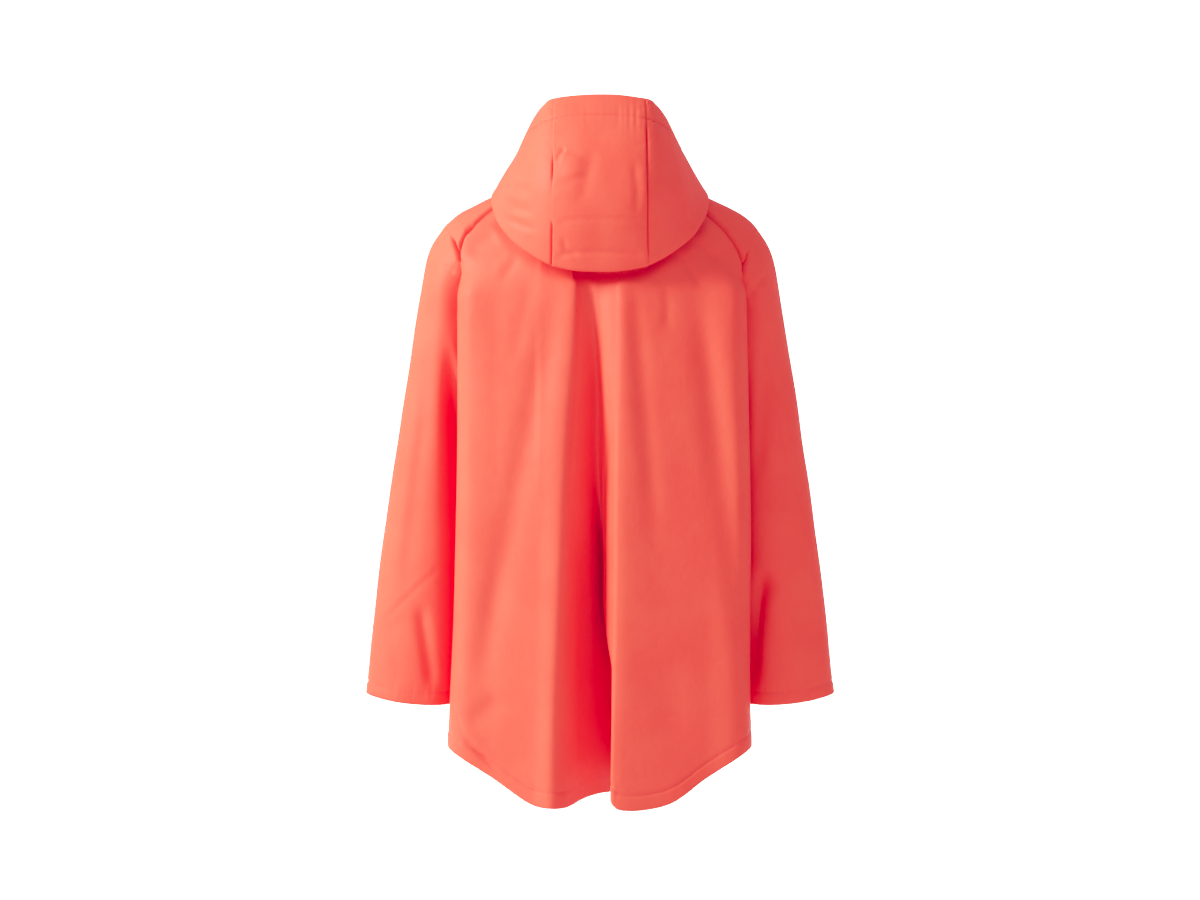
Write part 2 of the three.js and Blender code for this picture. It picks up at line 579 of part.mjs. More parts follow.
// A press stud's cap or back: a low dome on a flat foot, turned round its Y axis.
function studMesh(name, radius, height) {
  const rings = [[radius, 0], [radius, height * 0.45], [radius * 0.72, height * 0.9]];
  const positions = [0, 0, 0, 0, height, 0];
  for (const [reach, y] of rings) {
    for (const turn of steps(0, 2 * Math.PI, STUD.sides).slice(1)) {
      positions.push(reach * Math.cos(turn), y, reach * Math.sin(turn));
    }
  }
  const faces = [];
  for (let i = 0; i < STUD.sides; i++) {
    const [a, b] = [2 + i, 2 + ((i + 1) % STUD.sides)];
    const [up, over] = [STUD.sides, 2 * STUD.sides];
    faces.push(0, a, b, a, a + up, b + up, a, b + up, b);
    faces.push(a + up, a + over, b + over, a + up, b + over, b + up, a + over, 1, b + over);
  }
  const material = new THREE.MeshStandardMaterial({ color: STUD_CORAL, roughness: 0.35, metalness: 0.1 });
  const mesh = new THREE.Mesh(facingOut(positions, faces), material);
  mesh.name = name;
  return mesh;
}

// The point of a front's wall at the middle line, and the way it faces there.
function middleOfFront(side, height) {
  const at = (z) => frontRow(side, z)[FRONT_POINTS.length - 2].add(new THREE.Vector3(0, -side * LAP.lift, 0));
  const up = at(height + 3).sub(at(height - 3)).normalize();
  return { point: at(height), out: up.cross(new THREE.Vector3(1, 0, 0)).normalize() };
}

function addStuds(jacket) {
  steps(STUD.topZ, STUD.lowestZ, STUD.count - 1).forEach((height, i) => {
    const foot = CLOTH / 2 + 0.45;
    for (const [side, part, way, radius] of [[1, "stud_cap", 1, STUD.radius], [-1, "stud_back", -1, STUD.radius * 0.85]]) {
      const { point, out } = middleOfFront(side, height);
      const mesh = studMesh(`${part}_${i + 1}`, radius, STUD.height);
      const facing = out.multiplyScalar(out.y < 0 ? way : -way);
      mesh.position.copy(point).addScaledVector(facing, foot);
      mesh.quaternion.setFromUnitVectors(new THREE.Vector3(0, 1, 0), facing);
      jacket.add(mesh);
    }
  });
}

const jacket = new THREE.Group();
const backSeams = { first: SEAM_GAP, last: SEAM_GAP, top: SEAM_GAP, armhole: true };
jacket.add(clothMesh("back", wall(trimmed(backGrid(), backSeams))));
for (const [label, side] of [["left", 1], ["right", -1]]) {
  const frontSeams = { first: SEAM_GAP, top: SEAM_GAP, armhole: true };
  jacket.add(clothMesh(`front_${label}`, wall(trimmed(frontGrid(side), frontSeams))));
  const shoulderSeams = { first: SEAM_GAP, last: SEAM_GAP, low: SEAM_GAP, top: SEAM_GAP };
  jacket.add(clothMesh(`shoulder_${label}`, wall(trimmed(shoulderGrid(side), shoulderSeams))));
  jacket.add(clothMesh(`sleeve_${label}`, wall(trimmed(sleeveGrid(side), { low: ARMHOLE_GAP }), true)));
  const hoodSide = hoodGrid(side * HOOD_STRIP_ANGLE, side * HOOD_END_ANGLE, 18);
  jacket.add(clothMesh(`hood_${label}`, wall(trimmed(hoodSide, { first: SEAM_GAP }))));
}
const strip = hoodGrid(-HOOD_STRIP_ANGLE, HOOD_STRIP_ANGLE, 8);
jacket.add(clothMesh("hood_strip", wall(trimmed(strip, { first: SEAM_GAP, last: SEAM_GAP }))));
addStuds(jacket);

export default jacket;
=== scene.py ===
# A child's hooded rain jacket of coated cloth, seen from behind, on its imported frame.
# Sizes are in millimetres until a mesh is made. +Z is up and the back of the jacket faces +Y.
import math

import bpy
import numpy as np
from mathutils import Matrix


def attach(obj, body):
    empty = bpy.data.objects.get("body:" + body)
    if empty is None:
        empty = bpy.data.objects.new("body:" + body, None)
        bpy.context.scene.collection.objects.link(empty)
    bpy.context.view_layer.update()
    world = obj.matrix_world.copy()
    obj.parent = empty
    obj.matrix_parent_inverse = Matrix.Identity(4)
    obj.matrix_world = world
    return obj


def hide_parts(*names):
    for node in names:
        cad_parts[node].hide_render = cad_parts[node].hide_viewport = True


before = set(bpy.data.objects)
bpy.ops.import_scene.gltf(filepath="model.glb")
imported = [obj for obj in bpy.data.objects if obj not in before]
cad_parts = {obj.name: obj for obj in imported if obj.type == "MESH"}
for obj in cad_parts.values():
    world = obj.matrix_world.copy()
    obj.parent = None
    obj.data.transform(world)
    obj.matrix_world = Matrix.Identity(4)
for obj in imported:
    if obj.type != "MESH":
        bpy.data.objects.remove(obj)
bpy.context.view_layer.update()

# Sizes of the scene alone. The relief of the cloth fades out over SEAM_FADE at a seam, and a sleeve is
# let out by UNDERARM_EASE where it leaves the body under the arm.
THICK = 0.8
BODY_HEM, CUFF_HEM, BRIM_HEM = 14, 11, 25
LAP_STITCH = 29
SEAM_FADE = 5
UNDERARM_EASE = 0.9
# Rows and columns of the pieces of cloth
BACK_GRID, FRONT_GRID, SLEEVE_GRID, SHOULDER_GRID = (190, 240), (130, 100), (150, 200), (90, 90)
HOOD_ROWS, HOOD_SIDE_COLUMNS, HOOD_STRIP_COLUMNS = 190, 140, 110

# Sizes shared with the solids
NECK_WIDE, NECK_BACK, NECK_FRONT, NECK_BACK_DROP, NECK_FRONT_DROP = 60, 50, 56, 12, 50
HEM_Z, HEM_DIP_TOP_Z, UNDERARM_Z, YOKE_Z, NECK_EASE_Z = -566, -340, -170, -75, -50
FOLD_TOP_Z, FRONT_FOLD_TOP_Z = -110, -160
FRONT_FOLD_Y = -47
# Degrees round the neck from the back where the raglan seams start, and shares of the way round an
# armhole, from its top over the back
BACK_RAGLAN, FRONT_RAGLAN = 62, 122
YOKE_PLACE, UNDERARM_PLACE = 0.125, 0.5
LAP_HALF, LAP_LIFT = 15, 0.75
CUFF_SAG = 4
HOOD_STRIP, HOOD_END = 30, 178
# Shares of the pleat's depth at its wall, and at its hidden turn and ledge low down and higher up
PLEAT_WALL, PLEAT_TURN, PLEAT_LEDGE = 0.28, (0.95, 0.6), (0.42, 0.16)
# Shares of the half width and of the depth of the back, between its side fold and its middle
BULGE = {"fold": (1, 0), "near": (0.93, 0.54), "flank": (0.7, 0.7), "ridge": (0.43, 0.88)}
# The sides, as the wearer has them
LABELS = {1: "left", -1: "right"}


def table(names, *rows):
    """The rows as one array for each column, by name."""
    return {name: np.array(values, float) for name, values in zip(names.split(), zip(*rows))}


BODY = table(
    "z left right foldY backY seam front frontY",
    (-570, 139.0, 138.0, 44, 101, 128, 126, -93),
    (-510, 137.0, 136.5, 45, 100, 122, 125, -93),
    (-468, 134.7, 135.0, 47, 99, 115, 123, -92),
    (-400, 131.5, 134.7, 50, 98, 108, 121, -91),
    (-320, 129.5, 135.4, 52, 96, 103, 119, -90),
    (-247, 128.2, 134.3, 52, 93, 102, 118, -88),
    (-165, 128.2, 132.7, 51, 88, 108, 118, -83),
    (-85, 128.2, 131.0, 47, 79, 110, 116, -72),
    (-50, 128.0, 130.0, 44, 67, 110, 114, -56),
    (-12, 128.0, 130.0, 40, 50, 110, 112, -50),
)
PLEAT = table(
    "z lip wall bottom turn inner crease depth",
    (-570, 42.0, 23.0, -2.0, -14.0, -22.0, -9.3, 80),
    (-488, 41.0, 23.0, 2.0, -11.0, -17.5, -10.8, 77),
    (-417, 38.0, 23.0, 4.0, -4.0, -11.0, -12.2, 72),
    (-340, 35.0, 22.0, 5.0, -3.0, -9.5, -13.3, 64),
    (-257, 31.5, 20.5, 6.0, -2.0, -8.0, -13.8, 53),
    (-199, 28.0, 18.5, 6.0, -1.0, -6.5, -14.2, 40),
    (-153, 24.5, 18.5, 7.0, 0.0, -6.0, -14.2, 26),
    (-115, 23.0, 19.0, 9.0, 2.0, -6.0, -14.0, 15),
    (-60, 23.0, 18.5, 10.0, 2.0, -7.0, -13.5, 7),
    (-12, 22.0, 15.0, 7.0, 0.0, -8.0, -13.0, 2.5),
)
SLEEVE = table(
    "along outerX outerZ innerX innerZ depth y",
    (0.0, 142.0, -42, 108.0, -170, 45.0, 0),
    (0.1, 156.5, -66, 112.0, -183, 43.0, 0),
    (0.2, 165.0, -106, 113.0, -208, 41.0, -1),
    (0.35, 174.0, -162, 113.0, -248, 39.0, -2),
    (0.5, 184.0, -226, 114.0, -289, 38.0, -3),
    (0.65, 193.5, -292, 116.0, -337, 37.0, -3),
    (0.8, 203.0, -362, 120.0, -392, 36.0, -3),
    (1.0, 215.5, -471, 128.5, -480, 35.0, -3),
)
HOOD = table(
    "angle lowX lowY lowZ brimX brimY brimZ swell",
    (0, 0, 91, -90, 0, 62, 71, 28),
    (30, 43, 87, -84, 41, 57, 68, 26),
    (50, 76, 71, -63, 51, 46, 63, 14),
    (65, 92, 52, -43, 58, 35, 56, 5),
    (80, 99, 28, -23, 63, 20, 48, 0),
    (95, 97, 4, -12, 65, 3, 40, 0),
    (110, 88, -18, -10, 65, -15, 30, 2),
    (130, 66, -46, -18, 57, -38, 15, 3),
    (150, 39, -62, -31, 41, -57, -1, 4),
    (178, 2.5, -67, -41, 11, -69, -18, 3),
)
# Shares of the way from the hood's low line to its brim, and of the swell there
HOOD_SWELL = ((0.12, 0.36), (0.45, 1), (0.75, 0.75))
# Troughs of the solids: x and z of the top, x and z of the low end, width and depth
BACK_FOLDS = [
    (38, -105, 108, -460, 12, 3.5),
    (-30, -100, -48, -320, 8, 2.5),
    (-86, -100, -130, -430, 12, 4),
]
FRONT_FOLDS = [
    (48, -110, 66, -470, 11, 4),
    (84, -180, 96, -500, 9, 3),
    (-52, -130, -74, -490, 12, 4.5),
]
# Angles round the sleeve at its head and cuff, width, depth, and where it starts and ends along it
SLEEVE_FOLDS = {
    1: [(92, 162, 19, 24, 0.16, 1.3), (66, 66, 12, 1.6, 0.3, 0.9), (242, 242, 13, 3, 0.2, 0.9)],
    -1: [(104, 156, 16, 9, 0.16, 1.3), (70, 62, 12, 1.6, 0.3, 0.9), (238, 246, 13, 3, 0.2, 0.9)],
}
# Name, side, share of the way to the middle, and rise of the hem
BACK_POINTS = [
    ("seam", 1, 0.0, 58), ("side", 1, 0.015, 55), ("fold", 1, 0.04, 52), ("near", 1, 0.2, 45),
    ("flank", 1, 0.45, 26), ("ridge", 1, 0.62, 2.5), ("lip", 0, 0, 0), ("wall", 0, 0, 0),
    ("bottom", 0, 0, 0), ("turn", 0, 0, 17), ("inner", 0, 0, 14), ("crease", 0, 0, 7),
    ("outer", 0, 0, 0), ("ridge", -1, 0.62, 2.5), ("flank", -1, 0.45, 26), ("near", -1, 0.2, 45),
    ("fold", -1, 0.04, 52), ("side", -1, 0.015, 55), ("seam", -1, 0.0, 58),
]
FRONT_POINTS = [
    ("seam", 0.0, 58), ("side", 0.06, 61), ("fold", 0.14, 63), ("near", 0.3, 65),
    ("quarter", 0.6, 66), ("beforeLap", None, 66), ("middle", None, 66), ("edge", None, 66),
]
ARMHOLE_TOP = (142, 0, -42)
UNDERARM = (108, 0, -170)
ARMHOLE_BACK = {
    1: [(129, 41, -70), (122, 37, -108), (116, 28, -149)],
    -1: [(131.5, 43, -82), (125.5, 38.5, -116), (119, 29, -152)],
}
ARMHOLE_FRONT = [(127, -41, -76), (124, -45, -115), (117, -32, -152)]
RAGLAN_BACK_POINTS = {
    1: [(129, 41, -70), (124.4, 37, -55), (116.2, 33, -45), (102.6, 28, -30.5), (78, 25.5, -16)],
    -1: [(131.5, 43, -82), (127.5, 40, -69), (120.5, 36.5, -57), (110.5, 31, -44.5),
         (97.5, 27, -31.5), (76, 25, -16)],
}
RAGLAN_FRONT_POINTS = [(127, -41, -76), (114, -39, -56), (94, -36, -40), (70, -33, -24)]
SHOULDER_RIDGE = [(60, 0, 0), (80, 0, -8.5), (101, 0, -17.5), (117, 0, -25), (130, 0, -32.5), (142, 0, -42)]


# Small helpers
def smooth(low, high, at):
    """0 below low, 1 above high, and a smooth rise between them."""
    t = np.clip((at - low) / (high - low), 0, 1)
    return t * t * (3 - 2 * t)


def lerp(a, b, t):
    return a + (b - a) * t


def bell(distance, width):
    """1 at no distance, and about a third at this width."""
    return np.exp(-((distance / width) ** 2))


def sample(rows, key, column, place, even=False):
    """A column of a table at places along its key, on a smooth curve through the rows."""
    keys, values = rows[key], rows[column]
    last = len(keys) - 1
    at = np.clip(place, keys[0], keys[last])
    i = np.clip(np.searchsorted(keys, at, side="left") - 1, 0, last - 1)
    before = np.maximum(np.arange(last + 1) - 1, 0)
    after = np.minimum(np.arange(last + 1) + 1, last)
    slopes = (values[after] - values[before]) / (keys[after] - keys[before])
    if even:
        slopes[0] = 0
    span = keys[i + 1] - keys[i]
    t = (at - keys[i]) / span
    rise = t * t * (3 - 2 * t)
    start_pull = t * (1 - t) ** 2 * span * slopes[i]
    end_pull = t * t * (t - 1) * span * slopes[i + 1]
    return values[i] + (values[i + 1] - values[i]) * rise + start_pull + end_pull


def curve(points, at, closed=False):
    """Points on a centripetal curve through control points, at shares 0 to 1 of it."""
    points = np.asarray(points, float)
    count = points.shape[-2]
    place = (count - (0 if closed else 1)) * np.asarray(at, float)
    i = np.floor(place).astype(int)
    if closed:
        before, start, end, after = (points[..., (i + k) % count, :] for k in (-1, 0, 1, 2))
    else:
        i = np.clip(i, 0, count - 2)
        start = points[..., i, :]
        end = points[..., i + 1, :]
        first_made = 2 * points[..., :1, :] - points[..., 1:2, :]
        last_made = 2 * points[..., -1:, :] - points[..., -2:-1, :]
        longer = np.concatenate([first_made, points, last_made], -2)
        before = longer[..., i, :]
        after = longer[..., i + 3, :]
    w = (place - i)[..., None]

    def spacing(a, b):
        return np.sum((a - b) ** 2, -1, keepdims=True) ** 0.25

    d0, d1, d2 = spacing(before, start), spacing(start, end), spacing(end, after)
    d1 = np.where(d1 < 1e-4, 1, d1)
    d0 = np.where(d0 < 1e-4, d1, d0)
    d2 = np.where(d2 < 1e-4, d1, d2)
    t1 = ((start - before) / d0 - (end - before) / (d0 + d1) + (end - start) / d1) * d1
    t2 = ((end - start) / d1 - (after - start) / (d1 + d2) + (after - end) / d2) * d1
    return start + t1 * w + (3 * (end - start) - 2 * t1 - t2) * w**2 + (2 * (start - end) + t1 + t2) * w**3


def mirror(points, side):
    return np.asarray(points, float) * np.array([side, 1, 1])


def stack(x, y, z):
    return np.stack(np.broadcast_arrays(x, y, z), -1).astype(float)


# The seams, as the solids have them
def neck_point(angle):
    """A point of the neckline at these degrees round from its back, on the +X side."""
    turn = np.radians(angle)
    behind = np.cos(turn) > 0
    y = np.where(behind, NECK_BACK, NECK_FRONT) * np.cos(turn)
    z = -np.where(behind, NECK_BACK_DROP, NECK_FRONT_DROP) * np.cos(turn) ** 2
    return stack(NECK_WIDE * np.sin(turn), y, z)


ARMHOLE = {}
RAGLAN = {}
for side in (1, -1):
    around = [ARMHOLE_TOP, *ARMHOLE_BACK[side], UNDERARM, *ARMHOLE_FRONT[::-1]]
    ARMHOLE[side] = mirror(around, side)
    RAGLAN[side, True] = mirror([*RAGLAN_BACK_POINTS[side], neck_point(BACK_RAGLAN)], side)
    RAGLAN[side, False] = mirror([*RAGLAN_FRONT_POINTS, neck_point(FRONT_RAGLAN)], side)


def panel_edge(side, z, behind):
    """The outer border of the back or of a front: side seam, armhole and raglan seam."""
    up = np.clip((z - UNDERARM_Z) / (YOKE_Z - UNDERARM_Z), 0, 1)
    low = stack(side * sample(BODY, "z", "seam", z), 0, z)
    yoke_place = YOKE_PLACE if behind else 1 - YOKE_PLACE
    armhole = curve(ARMHOLE[side], lerp(UNDERARM_PLACE, yoke_place, up), closed=True)
    raglan = curve(RAGLAN[side, behind], np.clip((z - YOKE_Z) / (-NECK_BACK_DROP - YOKE_Z), 0, 1))
    z = z[..., None]
    return np.where(z <= UNDERARM_Z, low, np.where(z <= YOKE_Z, armhole, raglan))


def fold_depth(folds, points):
    """How deep the cloth lies in the troughs of a list."""
    x, y, z = points[..., 0], points[..., 1], points[..., 2]
    depth = np.zeros_like(x)
    for top_x, top_z, low_x, low_z, width, deep in folds:
        down = (top_z - z) / (top_z - low_z)
        fade = smooth(-0.15, 0.25, down) * (1 - smooth(0.75, 1.15, down))
        depth += deep * fade * bell(x - lerp(top_x, low_x, down), width)
    return depth * smooth(48, 76, np.abs(y))


def into_yoke(hanging, edge, share, middle, height, behind):
    """The hanging cloth, which runs into the curve from the edge to the middle towards the neck.
    share is how far a point is from the edge, on the way to the middle."""
    on_neck = smooth(NECK_EASE_Z, -NECK_BACK_DROP, height)
    neck_edge = neck_point(BACK_RAGLAN if behind else FRONT_RAGLAN)
    neck_middle = neck_point(0 if behind else 180)
    turn = np.degrees(np.arcsin(np.clip(neck_edge[0] * (1 - share) / NECK_WIDE, -1, 1)))
    neck = neck_point(turn if behind else 180 - turn)
    rounded = np.sin(share * math.pi / 2)
    placed = [edge[..., 0] * (1 - share)]
    for axis in (1, 2):
        on_line = (neck[..., axis] - neck_edge[axis]) / (neck_middle[axis] - neck_edge[axis])
        placed.append(lerp(edge[..., axis], middle[..., axis], lerp(rounded, on_line, on_neck)))
    yoke = stack(*placed)
    starts = FOLD_TOP_Z if behind else FRONT_FOLD_TOP_Z
    return lerp(hanging, yoke, smooth(starts, YOKE_Z + 8, height)[..., None])


def back_rows(heights):
    """The control points of the back, a row for each height."""
    hem_share = 1 - smooth(HEM_Z, HEM_DIP_TOP_Z, heights)
    columns = []
    for name, side, share, rise in BACK_POINTS:
        z = heights + rise * hem_share
        fold_y, back_y = sample(BODY, "z", "foldY", z), sample(BODY, "z", "backY", z)
        edge = panel_edge(side or 1, z, True)
        if name == "seam":
            columns.append(edge)
            continue
        if side:
            fold_x = side * sample(BODY, "z", LABELS[side], z)
            if name == "side":
                pinched = lerp(7, 2, smooth(30, 44, edge[..., 1]))
                x = lerp(edge[..., 0], fold_x, 0.5) - side * pinched
                y = lerp(edge[..., 1], fold_y, 0.45)
            else:
                x, y = fold_x * BULGE[name][0], lerp(fold_y, back_y, BULGE[name][1])
        else:
            depth = sample(PLEAT, "z", "depth", z)
            crease = sample(PLEAT, "z", "crease", z)
            x = crease - 6 if name == "outer" else sample(PLEAT, "z", name, z)
            turn = lerp(*PLEAT_TURN, smooth(-500, -380, z))
            ledge = lerp(*PLEAT_LEDGE, smooth(-280, -180, z))
            sunk = {"wall": PLEAT_WALL, "bottom": 1, "turn": turn, "inner": ledge}.get(name, 0)
            y = back_y - sunk * depth + {"crease": 1, "outer": 3}.get(name, 0)
        hanging = stack(x, y, z)
        beyond = np.where((x >= 0)[..., None], panel_edge(1, z, True), panel_edge(-1, z, True))
        gone = share if side else 1 - x / beyond[..., 0]
        middle = stack(0, back_y if side else y, z)
        columns.append(into_yoke(hanging, beyond, gone, middle, z, True))
    return np.stack(columns, 1)


def front_rows(side, heights):
    """The control points of a front, a row for each height."""
    hem_share = 1 - smooth(HEM_Z, HEM_DIP_TOP_Z, heights)
    spread = (NECK_FRONT_DROP + UNDERARM_Z) / (NECK_BACK_DROP + UNDERARM_Z)
    middle_z = np.where(heights > UNDERARM_Z, UNDERARM_Z + (heights - UNDERARM_Z) * spread, heights)
    columns = []
    for name, share, rise in FRONT_POINTS:
        z = heights + rise * hem_share
        on_body = np.minimum(z, middle_z + rise * hem_share)
        fold_x, front_y = sample(BODY, "z", "front", on_body), sample(BODY, "z", "frontY", on_body)
        edge = panel_edge(1, z, False)
        if name == "seam":
            columns.append(mirror(edge, side))
            continue
        pinched = lerp(6, 2, smooth(30, 44, -edge[..., 1]))
        x, y = {
            "side": (lerp(edge[..., 0], fold_x, 0.5) - pinched, lerp(edge[..., 1], FRONT_FOLD_Y, 0.47)),
            "fold": (fold_x, FRONT_FOLD_Y + 0 * z),
            "near": (fold_x * 0.87, lerp(FRONT_FOLD_Y, front_y, 0.66)),
            "quarter": (fold_x * 0.5, front_y + 2),
            "beforeLap": (LAP_HALF + 0 * z, front_y),
            "middle": (0 * z, front_y),
            "edge": (-LAP_HALF + 0 * z, front_y),
        }[name]
        gone = share if share is not None else 1 - np.abs(x) / edge[..., 0]
        middle = stack(0, front_y, middle_z)
        point = into_yoke(stack(x, y, z), edge, gone, middle, z, False)
        if name == "edge":
            point[..., 0] = x
        columns.append(mirror(point, side))
    return np.stack(columns, 1)


def back_points(heights, across):
    points = curve(back_rows(heights), across)
    points[..., 1] -= fold_depth(BACK_FOLDS, points)
    return points


def front_points(side, heights, across):
    points = curve(front_rows(side, heights), across)
    lapped = 1 - smooth(LAP_HALF + 1, LAP_HALF + 25, points[..., 0] * side)
    points[..., 1] += fold_depth(FRONT_FOLDS, points) - side * LAP_LIFT * lapped
    return points


def sleeve_points(side, along, around):
    """Rings of the sleeve; around is 0 to 1 from the shoulder over the back."""
    along = along[:, None]
    around = around[None, :]
    turn = around * 2 * math.pi

    def ring(place):
        angle = around * 360
        folds = 0
        for head, cuff, width, deep, start, end in SLEEVE_FOLDS[side]:
            fade = smooth(start, start + 0.2, place) * (1 - smooth(end - 0.2, end, place))
            folds = folds + deep * fade * bell(angle - lerp(head, cuff, place), width)
        share = (1 + np.cos(turn)) / 2
        flattened = np.sign(np.sin(turn)) * np.abs(np.sin(turn)) ** 0.8
        sag = CUFF_SAG * smooth(0.55, 1, place) * np.sin(turn) ** 2
        values = {name: sample(SLEEVE, "along", name, place) for name in SLEEVE if name != "along"}
        return mirror(stack(
            lerp(values["innerX"], values["outerX"], share),
            values["y"] + (values["depth"] - folds) * flattened,
            lerp(values["innerZ"], values["outerZ"], share) - sag,
        ), side)

    shift = curve(ARMHOLE[side], around, closed=True) - ring(np.zeros((1, 1)))
    shift[..., 0] += side * UNDERARM_EASE * np.maximum(0, -np.cos(turn)) ** 3
    return ring(along) + shift * (1 - smooth(0, 0.3, along))[..., None]


def shoulder_points(side, out, across):
    """The piece between neck, armhole and both raglan seams, blended from its four borders."""
    out = out[:, None]
    across = across[None, :]
    o, a = out[..., None], across[..., None]

    def neck_edge(share):
        return mirror(neck_point(lerp(BACK_RAGLAN, FRONT_RAGLAN, share)), side)

    def arm_edge(share):
        return curve(ARMHOLE[side], (lerp(YOKE_PLACE, -YOKE_PLACE, share) + 1) % 1, closed=True)

    def blend(share):
        s = np.asarray(share)[..., None]
        along = lerp(neck_edge(share), arm_edge(share), o)
        over = lerp(curve(RAGLAN[side, True], 1 - out), curve(RAGLAN[side, False], 1 - out), s)
        zero, one = np.zeros_like(share), np.ones_like(share)
        start = lerp(neck_edge(zero), arm_edge(zero), o)
        end = lerp(neck_edge(one), arm_edge(one), o)
        return along + over - lerp(start, end, s)

    ridge = curve(mirror(SHOULDER_RIDGE, side), out)
    lift = ridge - blend(np.full((1, 1), 0.5))
    return blend(across) + lift * np.sin(a * math.pi)


def hood_points(angles, up):
    """The hood from the neckline over its pouch to the brim, at angles round the neck."""
    turn = np.abs(angles)
    side = np.where(angles < 0, -1, 1)
    at = {name: sample(HOOD, "angle", name, turn, name not in ("lowX", "brimX")) for name in HOOD}
    low = stack(at["lowX"], at["lowY"], at["lowZ"])
    brim = stack(at["brimX"], at["brimY"], at["brimZ"])
    outward = stack(np.sin(np.radians(turn)), np.cos(np.radians(turn)), 0)
    swell_turn = np.radians(np.clip((turn - HOOD_STRIP) * 1.4, 0, 160))
    swell_way = stack(np.sin(swell_turn), np.cos(swell_turn), 0) * at["swell"][:, None]
    neck = neck_point(turn)
    stand = neck + outward * 3 + [0, 0, 5]
    lying = lerp(stand, low, 0.5) + [0, 0, 4]
    between = [lerp(low, brim, share) + swell_way * swell for share, swell in HOOD_SWELL]
    points = np.stack([neck, stand, lying, low, *between, brim], 1)
    points[..., 0] *= side[:, None]
    return np.swapaxes(curve(points, up), 0, 1)


# Relief on the cloth
def normals(points, tube=False):
    """The way square to the cloth at each point of a grid."""
    up = np.gradient(points, axis=0)
    over = np.roll(points, -1, 1) - np.roll(points, 1, 1) if tube else np.gradient(points, axis=1)
    way = np.cross(over, up)
    return way / np.maximum(np.linalg.norm(way, axis=-1, keepdims=True), 1e-9)


def run(points, axis):
    """How far along the cloth each point is from the grid's first row or column."""
    lengths = np.linalg.norm(np.diff(points, axis=axis), axis=-1)
    start = np.zeros_like(np.take(lengths, [0], axis))
    return np.cumsum(np.concatenate([start, lengths], axis), axis)


def ripples(along, pitch, seed):
    """Uneven little waves along a seam, between -1 and 1."""
    rng = np.random.default_rng(seed)
    total = 0
    for share in (0.62, 1.0, 1.55):
        total = total + np.sin(along * 2 * math.pi / (pitch * share) + rng.uniform(0, 6.3))
    return total / 3


def unevenness(points, size, seed):
    """Slow lumps over a surface, between about -1 and 1."""
    rng = np.random.default_rng(seed)
    total = 0
    for _ in range(7):
        way = rng.normal(size=3)
        way /= np.linalg.norm(way)
        pitch = size * rng.uniform(0.7, 1.5)
        total = total + np.sin(points @ way * 2 * math.pi / pitch + rng.uniform(0, 6.3))
    return total / 4


def crease(points, facing, path, width, depth, lip=0.0):
    """A trough along a path of (x, z) downwards, which fades at both ends. lip raises the cloth on its
    +X side, or on its -X side where it is negative."""
    x, z = points[..., 0], points[..., 2]
    ends = np.array(path, float)
    lengths = np.linalg.norm(np.diff(ends, axis=0), axis=1)
    starts = np.concatenate([[0], np.cumsum(lengths)])
    best = np.full(x.shape, 1e9)
    place = np.zeros(x.shape)
    beside = np.zeros(x.shape)
    for k in range(len(ends) - 1):
        way = (ends[k + 1] - ends[k]) / lengths[k]
        rx, rz = x - ends[k, 0], z - ends[k, 1]
        raw = rx * way[0] + rz * way[1]
        s = np.clip(raw, 0, lengths[k])
        distance = np.hypot(rx - s * way[0], rz - s * way[1])
        nearer = distance < best
        best = np.where(nearer, distance, best)
        place = np.where(nearer, (starts[k] + s) / starts[-1], place)
        beside = np.where(nearer, rz * way[0] - rx * way[1], beside)
    fade = smooth(0, 0.22, place) * (1 - smooth(0.72, 1, place))
    signed = np.sign(beside) * best
    shape = -depth * bell(best, width)
    if lip:
        shape = shape + abs(lip) * bell(signed - np.sign(lip) * 1.7 * width, width)
    return shape * fade * facing


def quads(rows, columns, tube):
    """The faces of a grid, as four vertex numbers each."""
    last = columns if tube else columns - 1
    r, c = np.meshgrid(np.arange(rows - 1), np.arange(last), indexing="ij")
    nxt = (c + 1) % columns
    a, b = r * columns + c, r * columns + nxt
    return np.stack([a, b, b + columns, a + columns], -1).reshape(-1, 4)


def mesh_from(name, vertices, faces):
    """A smooth mesh of quads, in metres."""
    mesh = bpy.data.meshes.new(name)
    mesh.vertices.add(len(vertices))
    mesh.vertices.foreach_set("co", (np.asarray(vertices) * 0.001).astype(np.float32).ravel())
    mesh.loops.add(faces.size)
    mesh.loops.foreach_set("vertex_index", faces.astype(np.int32).ravel())
    mesh.polygons.add(len(faces))
    mesh.polygons.foreach_set("loop_start", np.arange(0, faces.size, 4, dtype=np.int32))
    mesh.polygons.foreach_set("loop_total", np.full(len(faces), 4, dtype=np.int32))
    mesh.polygons.foreach_set("use_smooth", np.ones(len(faces), dtype=bool))
    mesh.update(calc_edges=True)
    mesh.validate()
    return mesh


def placed(name, data):
    """A new object with this data, in the scene."""
    obj = bpy.data.objects.new(name, data)
    bpy.context.scene.collection.objects.link(obj)
    return obj


